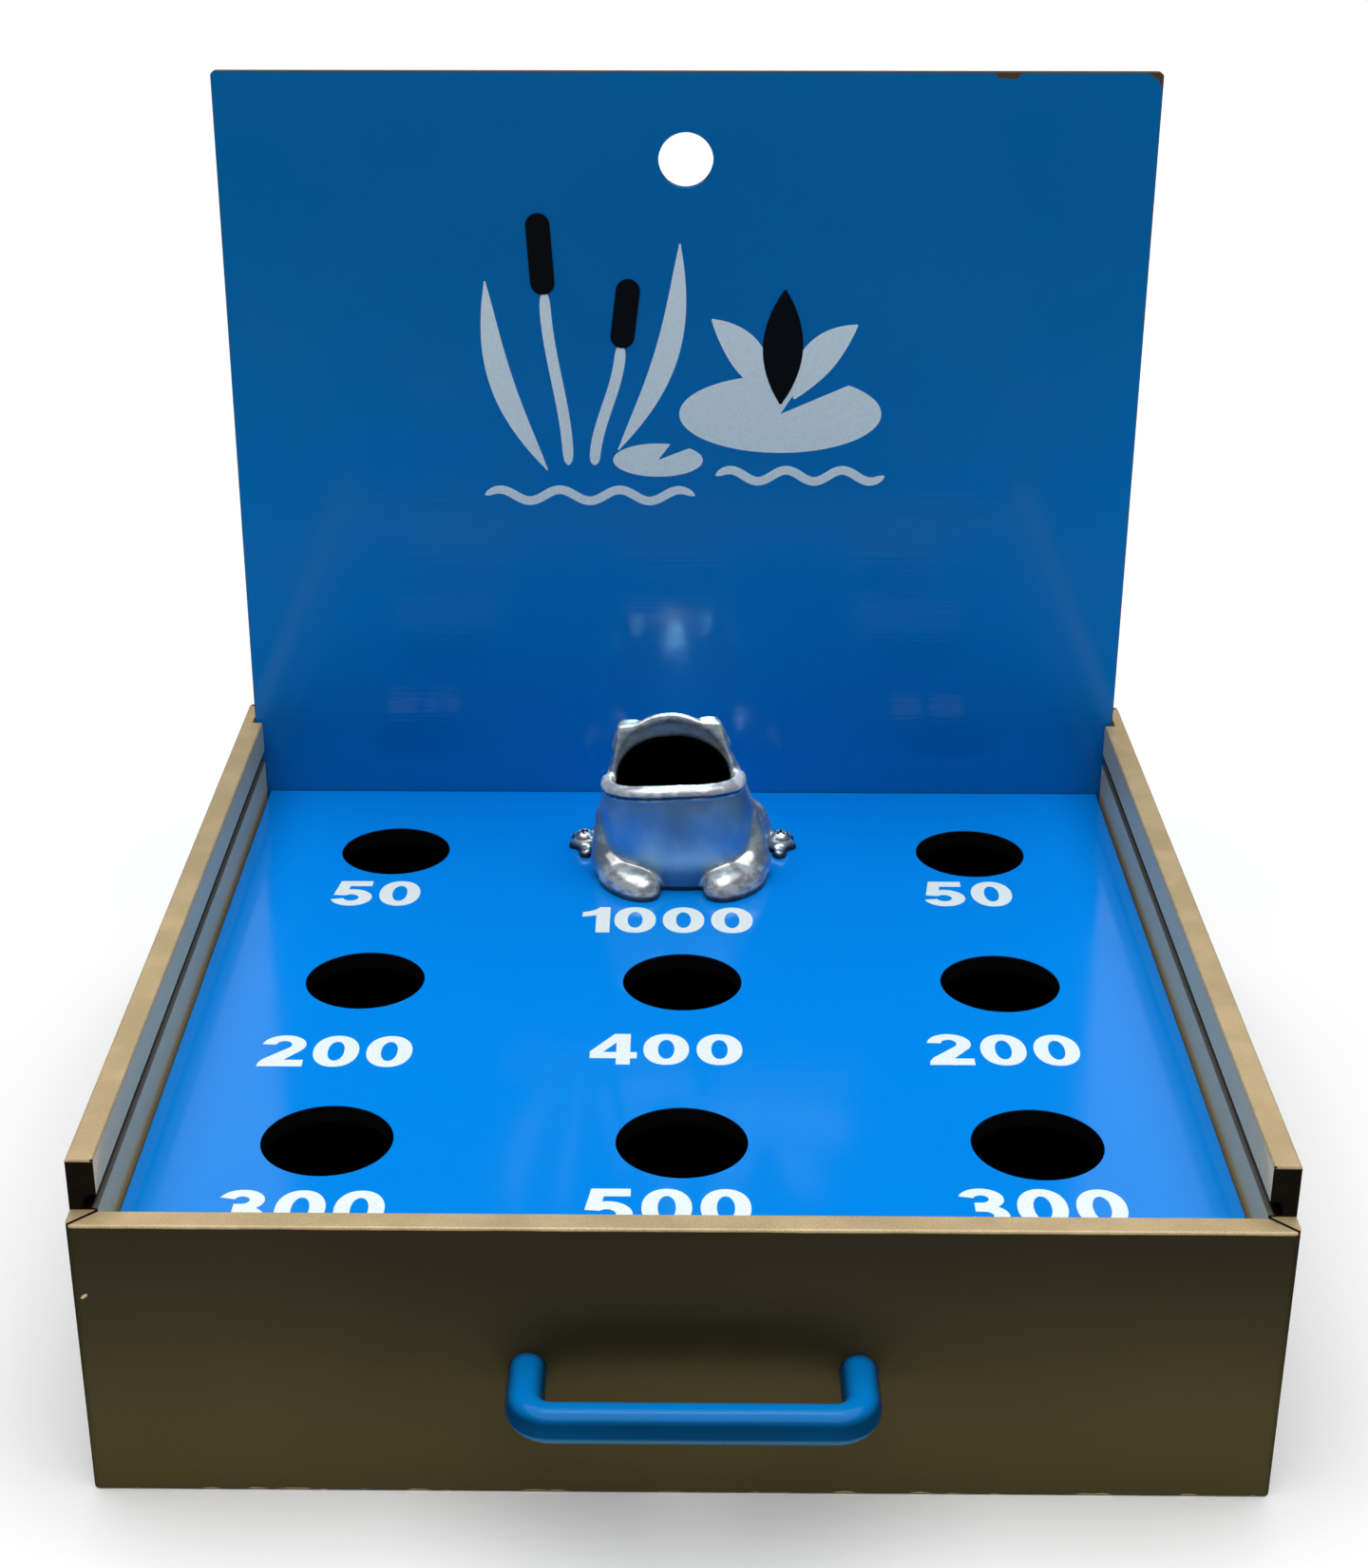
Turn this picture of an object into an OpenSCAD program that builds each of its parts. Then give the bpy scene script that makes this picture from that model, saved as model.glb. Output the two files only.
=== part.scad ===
// Frog toss game: a shallow carrying case whose lift-out play board has scoring holes and a cast
// frog with an open mouth. The panel lid slides into grooves to close the case, and stands upright
// in two rear slots as a backboard during play.
// Millimetres. The origin is the middle of the case's underside, and -Y is the player's side.

/* [Case] */
// Width over the side walls
case_w = 350; // [330:1:400]
// Depth over the front and rear walls
case_d = 350; // [340:1:400]
// Height of the front wall, which the lid slides over
front_h = 93; // [85:1:120]
// Rise of the side and rear walls above the front wall
rise_h = 17; // [14:1:30]
// Thickness of the walls
wall_t = 8; // [7:0.5:10]
// Rounding of the upright outer corners
corner_r = 2.5; // [1:0.5:4]
// Rounding of the long wall edges
edge_r = 0.8; // [0.3:0.1:1.5]
// Width of the glue line in each mitre
mitre_gap = 0.2; // [0.1:0.05:0.5]
// Thickness of the floor panel
floor_t = 5; // [3:0.5:8]
// Depth of the rebate that holds the floor panel
rebate_d = 4; // [3:0.5:5]
// Gap around the floor panel in its rebate
floor_gap = 0.3; // [0.1:0.1:0.6]

/* [Lid] */
// Thickness of the lid panel
lid_t = 4; // [3:0.5:5]
// Depth of the grooves and slots that hold the lid
groove_d = 4; // [3:0.5:5]
// Height of the groove's floor above the front wall
groove_lift = 0.5; // [0.3:0.1:1.5]
// Spare height of the groove around the lid
groove_play = 0.6; // [0.4:0.1:1.2]
// Gap between each lid edge and the bottom of its groove
lid_side_gap = 1; // [0.5:0.1:1.5]
// Distance from the rear face of the case to the front of the upright slots
slot_inset = 20; // [18:0.5:30]
// Gap in front of the standing lid in its slot
slot_front_gap = 1.5; // [0.5:0.1:3]
// Gap behind the standing lid in its slot
slot_rear_gap = 0.5; // [0.3:0.1:1.5]
// Height of the closed lower end of the slots, where the lid stands
slot_floor = 16; // [10:1:40]
// Rounding of the lid's corners
lid_corner_r = 1.5; // [0.5:0.5:6]
// Diameter of the finger hole
finger_d = 20; // [16:0.5:26]
// Distance from the lid's top edge to the middle of the finger hole
finger_drop = 31; // [20:1:50]

/* [Play board] */
// Thickness of the play board
board_t = 6; // [4:0.5:9]
// Depth of the board's top below the front wall's top
board_drop = 13; // [8:0.5:20]
// Gap between the board and the front and side walls
board_gap = 1.5; // [0.5:0.1:2.5]
// Gap between the board and the standing lid
board_lid_gap = 0.5; // [0.3:0.1:1.5]
// Diameter of the scoring holes
hole_d = 41; // [36:0.5:46]
// Distance between the hole columns
hole_pitch_x = 109.5; // [100:0.5:112]
// Distance between the hole rows
hole_pitch_y = 104; // [96:0.5:108]
// Distance of the middle row of holes in front of the case's middle
hole_mid = 3.7; // [0:0.1:8]

/* [Supports and dividers] */
// Width and height of the cleats under the board
cleat = 12; // [8:0.5:16]
// Height of the rail under the board's rear edge
rail_h = 24; // [16:1:40]
// Gap between the rear rail and the slots
rail_gap = 1; // [0.5:0.1:2]
// Thickness of the tray dividers
divider_t = 3; // [2:0.5:4]
// Gap between the dividers and the board
divider_drop = 0.5; // [0.3:0.1:2]
// Spare width of each notch around the piece that it crosses
lap_gap = 0.3; // [0.1:0.1:0.6]

/* [Handle] */
// Distance between the handle's legs
handle_span = 96; // [64:1:128]
// Diameter of the coated handle bar
handle_d = 11.5; // [8:0.5:13]
// Distance from the wall to the middle of the bar
handle_reach = 24.5; // [22:0.5:40]
// Bend radius at the middle of the bar
handle_bend = 8; // [7:0.5:12]
// Height of the handle above the base
handle_z = 44.5; // [30:0.5:55]
// Distance of the handle's middle to the right of the case's middle
handle_off = 3.5; // [-10:0.5:10]
// Diameter of the handle's screws
handle_screw_d = 4; // [3:0.5:5]
// Depth of the threaded hole in each handle leg
handle_hole_depth = 15; // [12:1:18]

/* [Fasteners] */
// Radial clearance of a screw in a plain hole
screw_play = 0.25; // [0.15:0.05:0.4]
// Radial clearance of a screw in its thread
thread_play = 0.1; // [0.05:0.05:0.2]
// Thickness of the washers
washer_t = 0.8; // [0.5:0.1:1.5]
// Diameter of the frog's screws
frog_screw_d = 4; // [3:0.5:5]
// Height of the nuts
nut_h = 3.2; // [2.4:0.1:4]
// Length of screw that stands out past its nut
screw_tail = 1.5; // [0.5:0.5:4]

/* [Frog] */
// Distance of the frog's middle in front of the rear row of holes
frog_ahead = 5.3; // [0:0.1:12]
// Width of the body where it stands on the board
base_w = 55; // [50:1:60]
// Depth of the body where it stands on the board
base_d = 56; // [50:1:60]
// Thickness of the body's wall at the board
base_t = 5; // [4:0.5:7]
// Swell of the belly's control line beyond the base
belly_swell = 8; // [5:0.5:10]
// Width over the rim of the mouth
mouth_w = 51; // [48:1:58]
// Depth of the mouth's rim from its corners to the front
mouth_d = 20.5; // [18:0.5:24]
// Distance of the mouth's corners in front of the frog's middle
mouth_front = 8; // [4:0.5:12]
// Height of the lower lip above the board
lip_z = 40; // [36:0.5:46]
// Drop of the mouth's corners below the middle of the lip
corner_drop = 3; // [0:0.5:5]
// Half width of the rolled lower lip
lip_r = 2.8; // [2.4:0.1:3.4]
// Thickness of the lip as a share of its width
lip_flat = 0.65; // [0.5:0.05:1]
// Angle by which the lip leans forwards
lip_lean = 30; // [0:1:45]
// Thickness of the body's wall behind the lower lip
mouth_t = 4; // [3:0.5:5]
// Thickness of the cheeks at the corners of the mouth
cheek_t = 4.5; // [4:0.5:8]
// Height of the crest of the upper jaw above the board
crest_z = 58; // [54:0.5:64]
// Thickness of the upper jaw at its front edge
jaw_t = 9; // [6:0.5:11]
// Distance of the upper jaw's front edge behind the frog's middle
jaw_back = 3; // [0:0.5:6]
// Distance of the neck behind the frog's middle
neck_back = 21; // [18:0.5:25]
// Angle by which the body leans to one side
body_lean = 5.5; // [0:0.5:8]
// Radius of the eye bumps
eye_r = 2.4; // [2:0.1:3.5]
// Distance between the outer ends of the eye bumps
eye_span = 33.6; // [31:0.2:35]
// Length of an eye bump towards the middle
eye_len = 4.3; // [3:0.1:6]
// Distance of the eyes behind the upper jaw's front edge
eye_back = 2; // [0:0.5:3]
// Depth of the eyes' tops below the crest
eye_drop = 2.6; // [1:0.1:4]
// Distance between the middles of the front feet
foot_span = 39.5; // [34:0.5:44]
// Distance of the front feet in front of the frog's middle
foot_front = 24; // [20:1:28]
// Half length of a front foot
foot_len = 16; // [13:0.5:18]
// Half width of a front foot
foot_w = 9.5; // [7:0.5:11]
// Height of a front foot
foot_h = 10; // [8:0.5:13]
// Angle by which the front feet point inwards
toe_in = 34; // [15:1:45]
// Radius of the front leg at the shoulder
shoulder_r = 8.5; // [7:0.5:11]
// Half width of a thigh
thigh_w = 11; // [7:0.5:12]
// Half depth of a thigh
thigh_d = 17; // [14:0.5:20]
// Height of a thigh
thigh_h = 19; // [16:1:30]
// Distance between the frog's two screws
lug_span = 75; // [72:1:80]
// Distance of the screws behind the frog's middle
lug_back = 10; // [5:0.5:12]
// Radius of the screw seat in each hind foot
lug_r = 4.8; // [4.4:0.1:5.5]
// Thickness of the hind foot under the screw head
lug_t = 4.5; // [3:0.5:6]
// Length of the longer hind toes from the screw
toe_len = 8; // [7:0.5:12]
// Radius of the tips of the hind toes
toe_r = 2.8; // [2.2:0.1:3.4]

/* [Hidden] */

$fn = 64;
cut = 1;                       // overshoot of every cutter past the face that it opens
screw_end_gap = 2;             // space left at the bottom of a blind threaded hole
bronze = [0.55, 0.47, 0.33];
blue = [0.02, 0.47, 0.86];
pine = [0.80, 0.66, 0.45];
hardboard = [0.45, 0.33, 0.22];
zinc = [0.72, 0.73, 0.75];
cast_metal = [0.78, 0.79, 0.81];

side_h = front_h + rise_h;
inner_w = case_w - 2 * wall_t;
inner_d = case_d - 2 * wall_t;
mitre_trim = mitre_gap / sqrt(2);

groove_z = front_h + groove_lift;
groove_h = lid_t + groove_play;
lid_w = inner_w + 2 * (groove_d - lid_side_gap);
lid_len = case_d - wall_t + groove_d - lid_side_gap;
slot_y = case_d / 2 - slot_inset;
slot_w = slot_front_gap + lid_t + slot_rear_gap;
lid_y = slot_y + slot_front_gap;

board_top = front_h - board_drop;
board_z = board_top - board_t;
board_w = inner_w - 2 * board_gap;
board_front = board_gap - inner_d / 2;
board_rear = lid_y - board_lid_gap;
hole_xs = [-hole_pitch_x, 0, hole_pitch_x];
hole_ys = [for (i = [-1 : 1]) i * hole_pitch_y - hole_mid];
frog_y = hole_ys[2] - frog_ahead;

rail_front = slot_y - rail_gap - cleat;
tray_rear = slot_y - rail_gap;
divider_xs = [-hole_pitch_x / 2, hole_pitch_x / 2];
divider_ys = [for (i = [0 : 1]) (hole_ys[i] + hole_ys[i + 1]) / 2];
divider_z = board_z - divider_drop;

handle_screw_r = handle_screw_d / 2;
handle_xs = [for (side = [-1, 1]) handle_off + side * handle_span / 2];
frog_screw_r = frog_screw_d / 2;
frog_screw_reach = lug_t + board_t + washer_t + nut_h + screw_tail;
throat_ledge = 2;              // board left showing inside the frog's base, around the throat hole
jaw_fullness = 0.9;            // squareness of the upper jaw's arch
neck_swell = 0.5;              // reach of the neck's control line beyond the mouth's rim
lip_sink = 0.6;                // depth by which the rolled lip is sunk into the rim
body_turns = 60;               // facets around the frog's body
body_steps = 9;                // facets up each side of its wall
throat_d = min(base_w, base_d) - 2 * (base_t + throat_ledge);

// Points of an arc about c from angle a0 to a1
function arc(c, r, a0, a1, n = 6) =
    [for (i = [0 : n]) let (a = a0 + (a1 - a0) * i / n) c + r * [cos(a), sin(a)]];

// Outline of a rectangle about the origin with round corners
function round_rect(w, d, r) = concat(
    arc([w / 2 - r, d / 2 - r], r, 0, 90),
    arc([r - w / 2, d / 2 - r], r, 90, 180),
    arc([r - w / 2, r - d / 2], r, 180, 270),
    arc([w / 2 - r, r - d / 2], r, 270, 360));

// Section of a wall from its outer face (x = 0) to its inner face, with eased long edges
function wall_section(h) = concat(
    [[wall_t, 0]],
    arc([wall_t - edge_r, h - edge_r], edge_r, 0, 90, 4),
    arc([edge_r, h - edge_r], edge_r, 90, 180, 4),
    arc([edge_r, edge_r], edge_r, 180, 270, 4));

// Plan of a mitred wall along X, with its outer face on y = -d / 2
function mitred_plan(w, d) = [
    [mitre_trim - w / 2, -d / 2],
    [w / 2 - mitre_trim, -d / 2],
    [w / 2 - wall_t - mitre_trim, wall_t - d / 2],
    [wall_t + mitre_trim - w / 2, wall_t - d / 2]];

// Mitred wall along X with its outer face on y = -d / 2
module mitred_wall(w, d, h) {
    intersection() {
        linear_extrude(h) polygon(mitred_plan(w, d));
        linear_extrude(h) polygon(round_rect(w, d, corner_r));
        translate([0, -d / 2, 0]) rotate([90, 0, 90])
            linear_extrude(w, center = true) polygon(wall_section(h));
    }
}

// Rebate for the floor panel around the bottom of all four walls
module floor_rebate() {
    translate([0, 0, -cut]) linear_extrude(floor_t + cut)
        square([inner_w + 2 * rebate_d, inner_d + 2 * rebate_d], center = true);
}

// Space swept by the sliding lid: the grooves of the side and rear walls
module lid_groove() {
    y = -case_d / 2 - cut;
    translate([-inner_w / 2 - groove_d, y, groove_z])
        cube([inner_w + 2 * groove_d, inner_d / 2 + groove_d - y, groove_h]);
}

module front_wall() {
    color(bronze) difference() {
        mitred_wall(case_w, case_d, front_h);
        floor_rebate();
        for (x = handle_xs)
            translate([x, -case_d / 2 - cut, handle_z]) rotate([-90, 0, 0])
                cylinder(h = wall_t + 2 * cut, r = handle_screw_r + screw_play);
    }
}

module rear_wall() {
    color(bronze) difference() {
        rotate(180) mitred_wall(case_w, case_d, side_h);
        floor_rebate();
        lid_groove();
    }
}

// The left wall: its front end steps down to the front wall, so the groove is open to the front
module side_wall() {
    difference() {
        rotate(-90) mitred_wall(case_d, case_w, side_h);
        floor_rebate();
        lid_groove();
        translate([-case_w / 2 - cut, -case_d / 2 - cut, front_h])
            cube([wall_t + 2 * cut, wall_t + cut, rise_h + cut]);
        translate([-inner_w / 2 - groove_d, slot_y, slot_floor])
            cube([groove_d + cut, slot_w, side_h]);
    }
}

module left_wall() {
    color(bronze) side_wall();
}

module right_wall() {
    color(bronze) mirror([1, 0, 0]) side_wall();
}

module floor_panel() {
    w = inner_w + 2 * (rebate_d - floor_gap);
    d = inner_d + 2 * (rebate_d - floor_gap);
    color(hardboard) translate([-w / 2, -d / 2, 0]) cube([w, d, floor_t]);
}

module side_cleat() {
    translate([-inner_w / 2, -inner_d / 2, board_z - cleat])
        cube([cleat, rail_front + inner_d / 2, cleat]);
}

module left_cleat() {
    color(pine) side_cleat();
}

module right_cleat() {
    color(pine) mirror([1, 0, 0]) side_cleat();
}

module front_cleat() {
    w = inner_w - 2 * cleat;
    color(pine) translate([-w / 2, -inner_d / 2, board_z - cleat]) cube([w, cleat, cleat]);
}

module rear_rail() {
    color(pine) translate([-inner_w / 2, rail_front, board_z - rail_h])
        cube([inner_w, cleat, rail_h]);
}

// Divider from front to rear, open from above where the cross dividers pass,
// and notched under the front cleat and the rear rail and around any handle screw that it meets
module long_divider(x) {
    half = divider_t / 2 + lap_gap;
    mid_z = (floor_t + divider_z) / 2;
    color(hardboard) difference() {
        translate([x - divider_t / 2, -inner_d / 2, floor_t])
            cube([divider_t, tray_rear + inner_d / 2, divider_z - floor_t]);
        for (y = divider_ys)
            translate([x - half, y - half, mid_z - lap_gap]) cube([2 * half, 2 * half, board_z]);
        translate([x - half, -inner_d / 2 - cut, board_z - cleat - lap_gap])
            cube([2 * half, cleat + lap_gap + cut, cleat + lap_gap]);
        translate([x - half, rail_front - lap_gap, board_z - rail_h - lap_gap])
            cube([2 * half, cleat + lap_gap + cut, rail_h + lap_gap]);
        at_handle_screws() translate([0, 0, -cut])
            cylinder(h = cut + washer_t + head_h(handle_screw_d) + lap_gap,
                r = washer_r(handle_screw_d) + lap_gap);
    }
}

// Divider from side to side, open from below where the long dividers pass,
// and notched under the side cleats
module cross_divider(y) {
    half = divider_t / 2 + lap_gap;
    mid_z = (floor_t + divider_z) / 2;
    color(hardboard) difference() {
        translate([-inner_w / 2, y - divider_t / 2, floor_t])
            cube([inner_w, divider_t, divider_z - floor_t]);
        for (x = divider_xs)
            translate([x - half, y - half, floor_t - cut])
                cube([2 * half, 2 * half, mid_z + lap_gap - floor_t + cut]);
        for (side = [-1, 1])
            translate([side * inner_w / 2 - cleat - lap_gap, y - half, board_z - cleat - lap_gap])
                cube([2 * (cleat + lap_gap), 2 * half, cleat + lap_gap]);
    }
}

module left_divider() {
    long_divider(divider_xs[0]);
}

module right_divider() {
    long_divider(divider_xs[1]);
}

module front_divider() {
    cross_divider(divider_ys[0]);
}

module rear_divider() {
    cross_divider(divider_ys[1]);
}

// One half of the handle: a leg out of the wall, a bend, and half of the bar
module handle_half() {
    r = handle_d / 2;
    straight = handle_reach - handle_bend;
    translate([handle_span / 2, -case_d / 2, handle_z]) {
        rotate([90, 0, 0]) cylinder(h = straight, r = r);
        translate([-handle_bend, -straight, 0]) rotate(-90)
            rotate_extrude(angle = 90) translate([handle_bend, 0]) circle(r);
    }
    translate([0, -case_d / 2 - handle_reach, handle_z]) rotate([0, 90, 0])
        cylinder(h = handle_span / 2 - handle_bend, r = r);
}

module carry_handle() {
    color(blue) difference() {
        translate([handle_off, 0, 0]) {
            handle_half();
            mirror([1, 0, 0]) handle_half();
        }
        for (x = handle_xs)
            translate([x, cut - case_d / 2, handle_z]) rotate([90, 0, 0])
                cylinder(h = handle_hole_depth + cut, r = handle_screw_r + thread_play);
    }
}

// Standard proportions of a screw head and a washer for a thread of diameter d
function head_r(d) = 0.95 * d;
function head_h(d) = 0.65 * d;
function washer_r(d) = 1.1 * d;

// Pan-head screw along Z: the head stands on z = 0 and the shank hangs below it
module pan_screw(d, reach) {
    r = head_r(d);
    h = head_h(d);
    dome_r = (r * r + h * h) / (2 * h);
    half_angle = asin(r / dome_r);
    rotate_extrude() polygon(concat(
        [[0, -reach], [d / 2, -reach], [d / 2, 0]],
        arc([0, h - dome_r], dome_r, 90 - half_angle, 90, 8)));
}

module washer(d) {
    difference() {
        cylinder(h = washer_t, r = washer_r(d));
        translate([0, 0, -cut]) cylinder(h = washer_t + 2 * cut, r = d / 2 + screw_play);
    }
}

// Puts its children on the inner face of the front wall, at each handle screw, with Z pointing in
module at_handle_screws() {
    for (x = handle_xs)
        translate([x, -inner_d / 2, handle_z]) rotate([-90, 0, 0]) children();
}

module handle_screws() {
    reach = washer_t + wall_t + handle_hole_depth - screw_end_gap;
    color(zinc) at_handle_screws() translate([0, 0, washer_t]) pan_screw(handle_screw_d, reach);
}

module handle_washers() {
    color(zinc) at_handle_screws() washer(handle_screw_d);
}

// Puts its children at each of the frog's screws, at a height above the base
module at_frog_screws(z) {
    for (side = [-1, 1]) translate([side * lug_span / 2, frog_y + lug_back, z]) children();
}

module play_board() {
    d = board_rear - board_front;
    color(blue) difference() {
        translate([-board_w / 2, board_front, board_z]) cube([board_w, d, board_t]);
        for (x = hole_xs, y = hole_ys)
            if (x != 0 || y != hole_ys[2])
                translate([x, y, board_z - cut]) cylinder(h = board_t + 2 * cut, d = hole_d);
        translate([0, frog_y, board_z - cut]) cylinder(h = board_t + 2 * cut, d = throat_d);
        at_frog_screws(board_z - cut)
            cylinder(h = board_t + 2 * cut, r = frog_screw_r + screw_play);
    }
}

// The frog is worked out in its own frame: the board's top is z = 0, its middle is the origin,
// and it looks along -Y.

// Keeps the sign of v and raises its size to a power
function signed_pow(v, p) = sign(v) * pow(abs(v), p);

// Direction of an angle on a slightly squared oval
function oval(a) = [signed_pow(cos(a), 0.88), signed_pow(sin(a), 0.88)];

// Point at t on a cubic curve with control points p
function curve(p, t) = let (u = 1 - t)
    u * u * u * p[0] + 3 * u * u * t * p[1] + 3 * u * t * t * p[2] + t * t * t * p[3];

// How far the rim has risen from the lower lip (0) to the crest of the upper jaw (1) at angle a:
// p = 1 gives a round arch, less than 1 a steeper one and more than 1 a fuller one
function jaw_rise(a, p) = 1 - pow(1 - max(sin(a), 0), p);

// Depth of the mouth's rim at angle a, where the front half bulges forward by d
function rim_y(a, d) = sin(a) < 0 ?
    oval(a)[1] * d - mouth_front :
    (jaw_back + mouth_front) * jaw_rise(a, jaw_fullness) - mouth_front;

// Height of the rim at angle a: the front dips from the middle of the lip to the corners of the mouth,
// and the rear half rises from the corners to the top
function rim_height(a, top, p) = sin(a) < 0 ?
    lip_z - corner_drop * pow(cos(a), 2) :
    lip_z - corner_drop + (top - lip_z + corner_drop) * jaw_rise(a, p);

// Control points of the body's outside at angle a, from the board up to the mouth's rim
function body_outside(a) = let (
    o = oval(a),
    k = jaw_rise(a, jaw_fullness),
    rim_z = rim_height(a, crest_z, jaw_fullness),
    neck_d = o[1] < 0 ? mouth_d + neck_swell : neck_back + mouth_front
) [
    [o[0] * base_w / 2, o[1] * base_d / 2, 0],
    [o[0] * (base_w / 2 + belly_swell), o[1] * (base_d / 2 + belly_swell), 0.33 * lip_z],
    [o[0] * (mouth_w / 2 + neck_swell), o[1] * neck_d - mouth_front, rim_z - (0.2 - 0.06 * k) * lip_z],
    [o[0] * mouth_w / 2, rim_y(a, mouth_d), rim_z]
];

// Control points of the body's inside at angle a, from the mouth's rim down to the board
function body_inside(a) = let (
    o = oval(a),
    rim_z = rim_height(a, crest_z - jaw_t, 1),
    rim_x = mouth_w / 2 - cheek_t,
    rim_d = mouth_d - mouth_t,
    under_d = o[1] < 0 ? rim_d : neck_back,
    base_x = base_w / 2 - base_t,
    base_y = base_d / 2 - base_t
) [
    [o[0] * rim_x, rim_y(a, rim_d), rim_z],
    [o[0] * rim_x, o[1] * under_d - mouth_front, rim_z - 0.1 * lip_z],
    [o[0] * base_x, o[1] * base_y, 0.4 * lip_z],
    [o[0] * base_x, o[1] * base_y, 0]
];

// Hollow body: the wall's section at each angle is one closed loop, carried around the mouth
module frog_body() {
    loop = 2 * (body_steps + 1);
    points = [for (i = [0 : body_turns - 1]) let (a = i * 360 / body_turns)
        each concat(
            [for (j = [0 : body_steps]) curve(body_outside(a), j / body_steps)],
            [for (j = [0 : body_steps]) curve(body_inside(a), j / body_steps)])];
    faces = [for (i = [0 : body_turns - 1], j = [0 : loop - 1]) let (
            p = i * loop + j,
            q = i * loop + (j + 1) % loop,
            r = ((i + 1) % body_turns) * loop + (j + 1) % loop,
            s = ((i + 1) % body_turns) * loop + j)
        each [[p, q, r], [p, r, s]]];
    polyhedron(points, faces);
}

// Side faces and end caps of a tube of rings, each of n points
function tube_faces(rings, n) = concat(
    [for (i = [0 : rings - 2], j = [0 : n - 1]) let (p = i * n + j, q = i * n + (j + 1) % n)
        each [[p, q, q + n], [p, q + n, p + n]]],
    [[for (j = [n - 1 : -1 : 0]) j], [for (j = [0 : n - 1]) (rings - 1) * n + j]]);

// Rolled lower lip from one corner of the mouth round the front to the other, thinner at its ends
module frog_lip() {
    steps = 30;
    sides = 10;
    first = 172;
    last = 368;
    points = [for (i = [0 : steps]) let (
            a = first + (last - first) * i / steps,
            o = oval(a),
            z = lip_z - corner_drop * pow(cos(a), 2),
            r = lip_r * sqrt(1 - 0.9 * pow(abs(2 * i / steps - 1), 14)))
        for (j = [0 : sides - 1]) let (
                b = j * 360 / sides,
                reach = r * (cos(b) * cos(lip_lean) + lip_flat * sin(b) * sin(lip_lean)) - lip_sink,
                rise = r * (lip_flat * sin(b) * cos(lip_lean) - cos(b) * sin(lip_lean)))
            [o[0] * (mouth_w / 2 + reach), o[1] * (mouth_d + reach) - mouth_front, z + rise]];
    polyhedron(points, tube_faces(steps + 1, sides));
}

// Space inside the body's wall, which the limbs stay out of
module frog_throat() {
    points = [for (j = [0 : body_steps], i = [0 : body_turns - 1])
        curve(body_inside(i * 360 / body_turns), j / body_steps)];
    polyhedron(points, tube_faces(body_steps + 1, body_turns));
}

module ball(p, r) {
    translate(p) sphere(r, $fn = 18);
}

// Ellipsoid with half sizes s, for the rounded masses of the casting
module egg(p, s, turn) {
    translate(p) rotate(turn) scale(s) sphere(1, $fn = 30);
}

// Leans its children towards -X, more the higher they are
module leaning() {
    multmatrix([[1, 0, -tan(body_lean), 0], [0, 1, 0, 0], [0, 0, 1, 0], [0, 0, 0, 1]]) children();
}

// Right half of what leans with the body: the eye and the front leg with its foot
module frog_front_limbs() {
    eye = [eye_span / 2, jaw_back + eye_back, crest_z - eye_drop - eye_r];
    cheek = [mouth_w / 2 - 5.5, jaw_back - 1, lip_z + 6];
    shoulder = [base_w / 2 - 4, -0.3 * foot_front, 0.55 * lip_z];
    heel = [foot_span / 2 + 5.5, -0.6 * foot_front, 0.6 * foot_h];
    foot = [foot_span / 2, -foot_front, 0];
    hull() {
        ball(eye, eye_r);
        ball(eye - [eye_len, 0, 0], eye_r);
        ball(eye + [-2, 4, -5], eye_r);
        ball(cheek, eye_r);
    }
    hull() {
        ball(shoulder, 0.8 * shoulder_r);
        ball(heel, shoulder_r);
    }
    hull() {
        ball(heel, shoulder_r);
        ball(foot + [1, -1, 0.3 * foot_h], 0.75 * shoulder_r);
    }
    egg(foot, [foot_len, foot_w, foot_h], 90 - toe_in);
}

// Right half of what stands upright: the thigh, the hind foot with its screw seat, and its toes
module frog_hind_limbs() {
    lug = [lug_span / 2, lug_back, 0];
    ankle = [base_w / 2, lug_back, lug_t];
    egg([base_w / 2 - 4, lug_back + 2, 0], [thigh_w, thigh_d, thigh_h], -12);
    hull() {
        ball(ankle, lug_r);
        translate(lug) cylinder(h = lug_t, r = lug_r, $fn = 24);
    }
    for (toe = [[-95, toe_len], [-5, 0.45 * toe_len], [70, toe_len]])
        hull() {
            ball(lug, toe_r);
            ball(lug + toe[1] * [cos(toe[0]), sin(toe[0]), 0], toe_r);
        }
}

module frog() {
    far = 2 * lug_span;
    color(cast_metal) translate([0, frog_y, board_top]) difference() {
        union() {
            leaning() {
                frog_body();
                frog_lip();
            }
            difference() {
                union() {
                    leaning() for (side = [0, 1]) mirror([side, 0, 0]) frog_front_limbs();
                    for (side = [0, 1]) mirror([side, 0, 0]) frog_hind_limbs();
                }
                leaning() frog_throat();
            }
        }
        translate([-far / 2, -far / 2, -far]) cube(far);
        for (side = [-1, 1])
            translate([side * lug_span / 2, lug_back, -cut]) {
                cylinder(h = lug_t + 2 * cut, r = frog_screw_r + screw_play, $fn = 24);
                translate([0, 0, lug_t + cut]) cylinder(h = far, r = lug_r, $fn = 24);
            }
    }
}

module frog_screws() {
    color(zinc) at_frog_screws(board_top + lug_t) pan_screw(frog_screw_d, frog_screw_reach);
}

module frog_washers() {
    color(zinc) at_frog_screws(board_z - washer_t) washer(frog_screw_d);
}

module frog_nuts() {
    color(zinc) at_frog_screws(board_z - washer_t - nut_h) difference() {
        cylinder(h = nut_h, r = frog_screw_d, $fn = 6);
        translate([0, 0, -cut]) cylinder(h = nut_h + 2 * cut, r = frog_screw_r + thread_play);
    }
}

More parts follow.
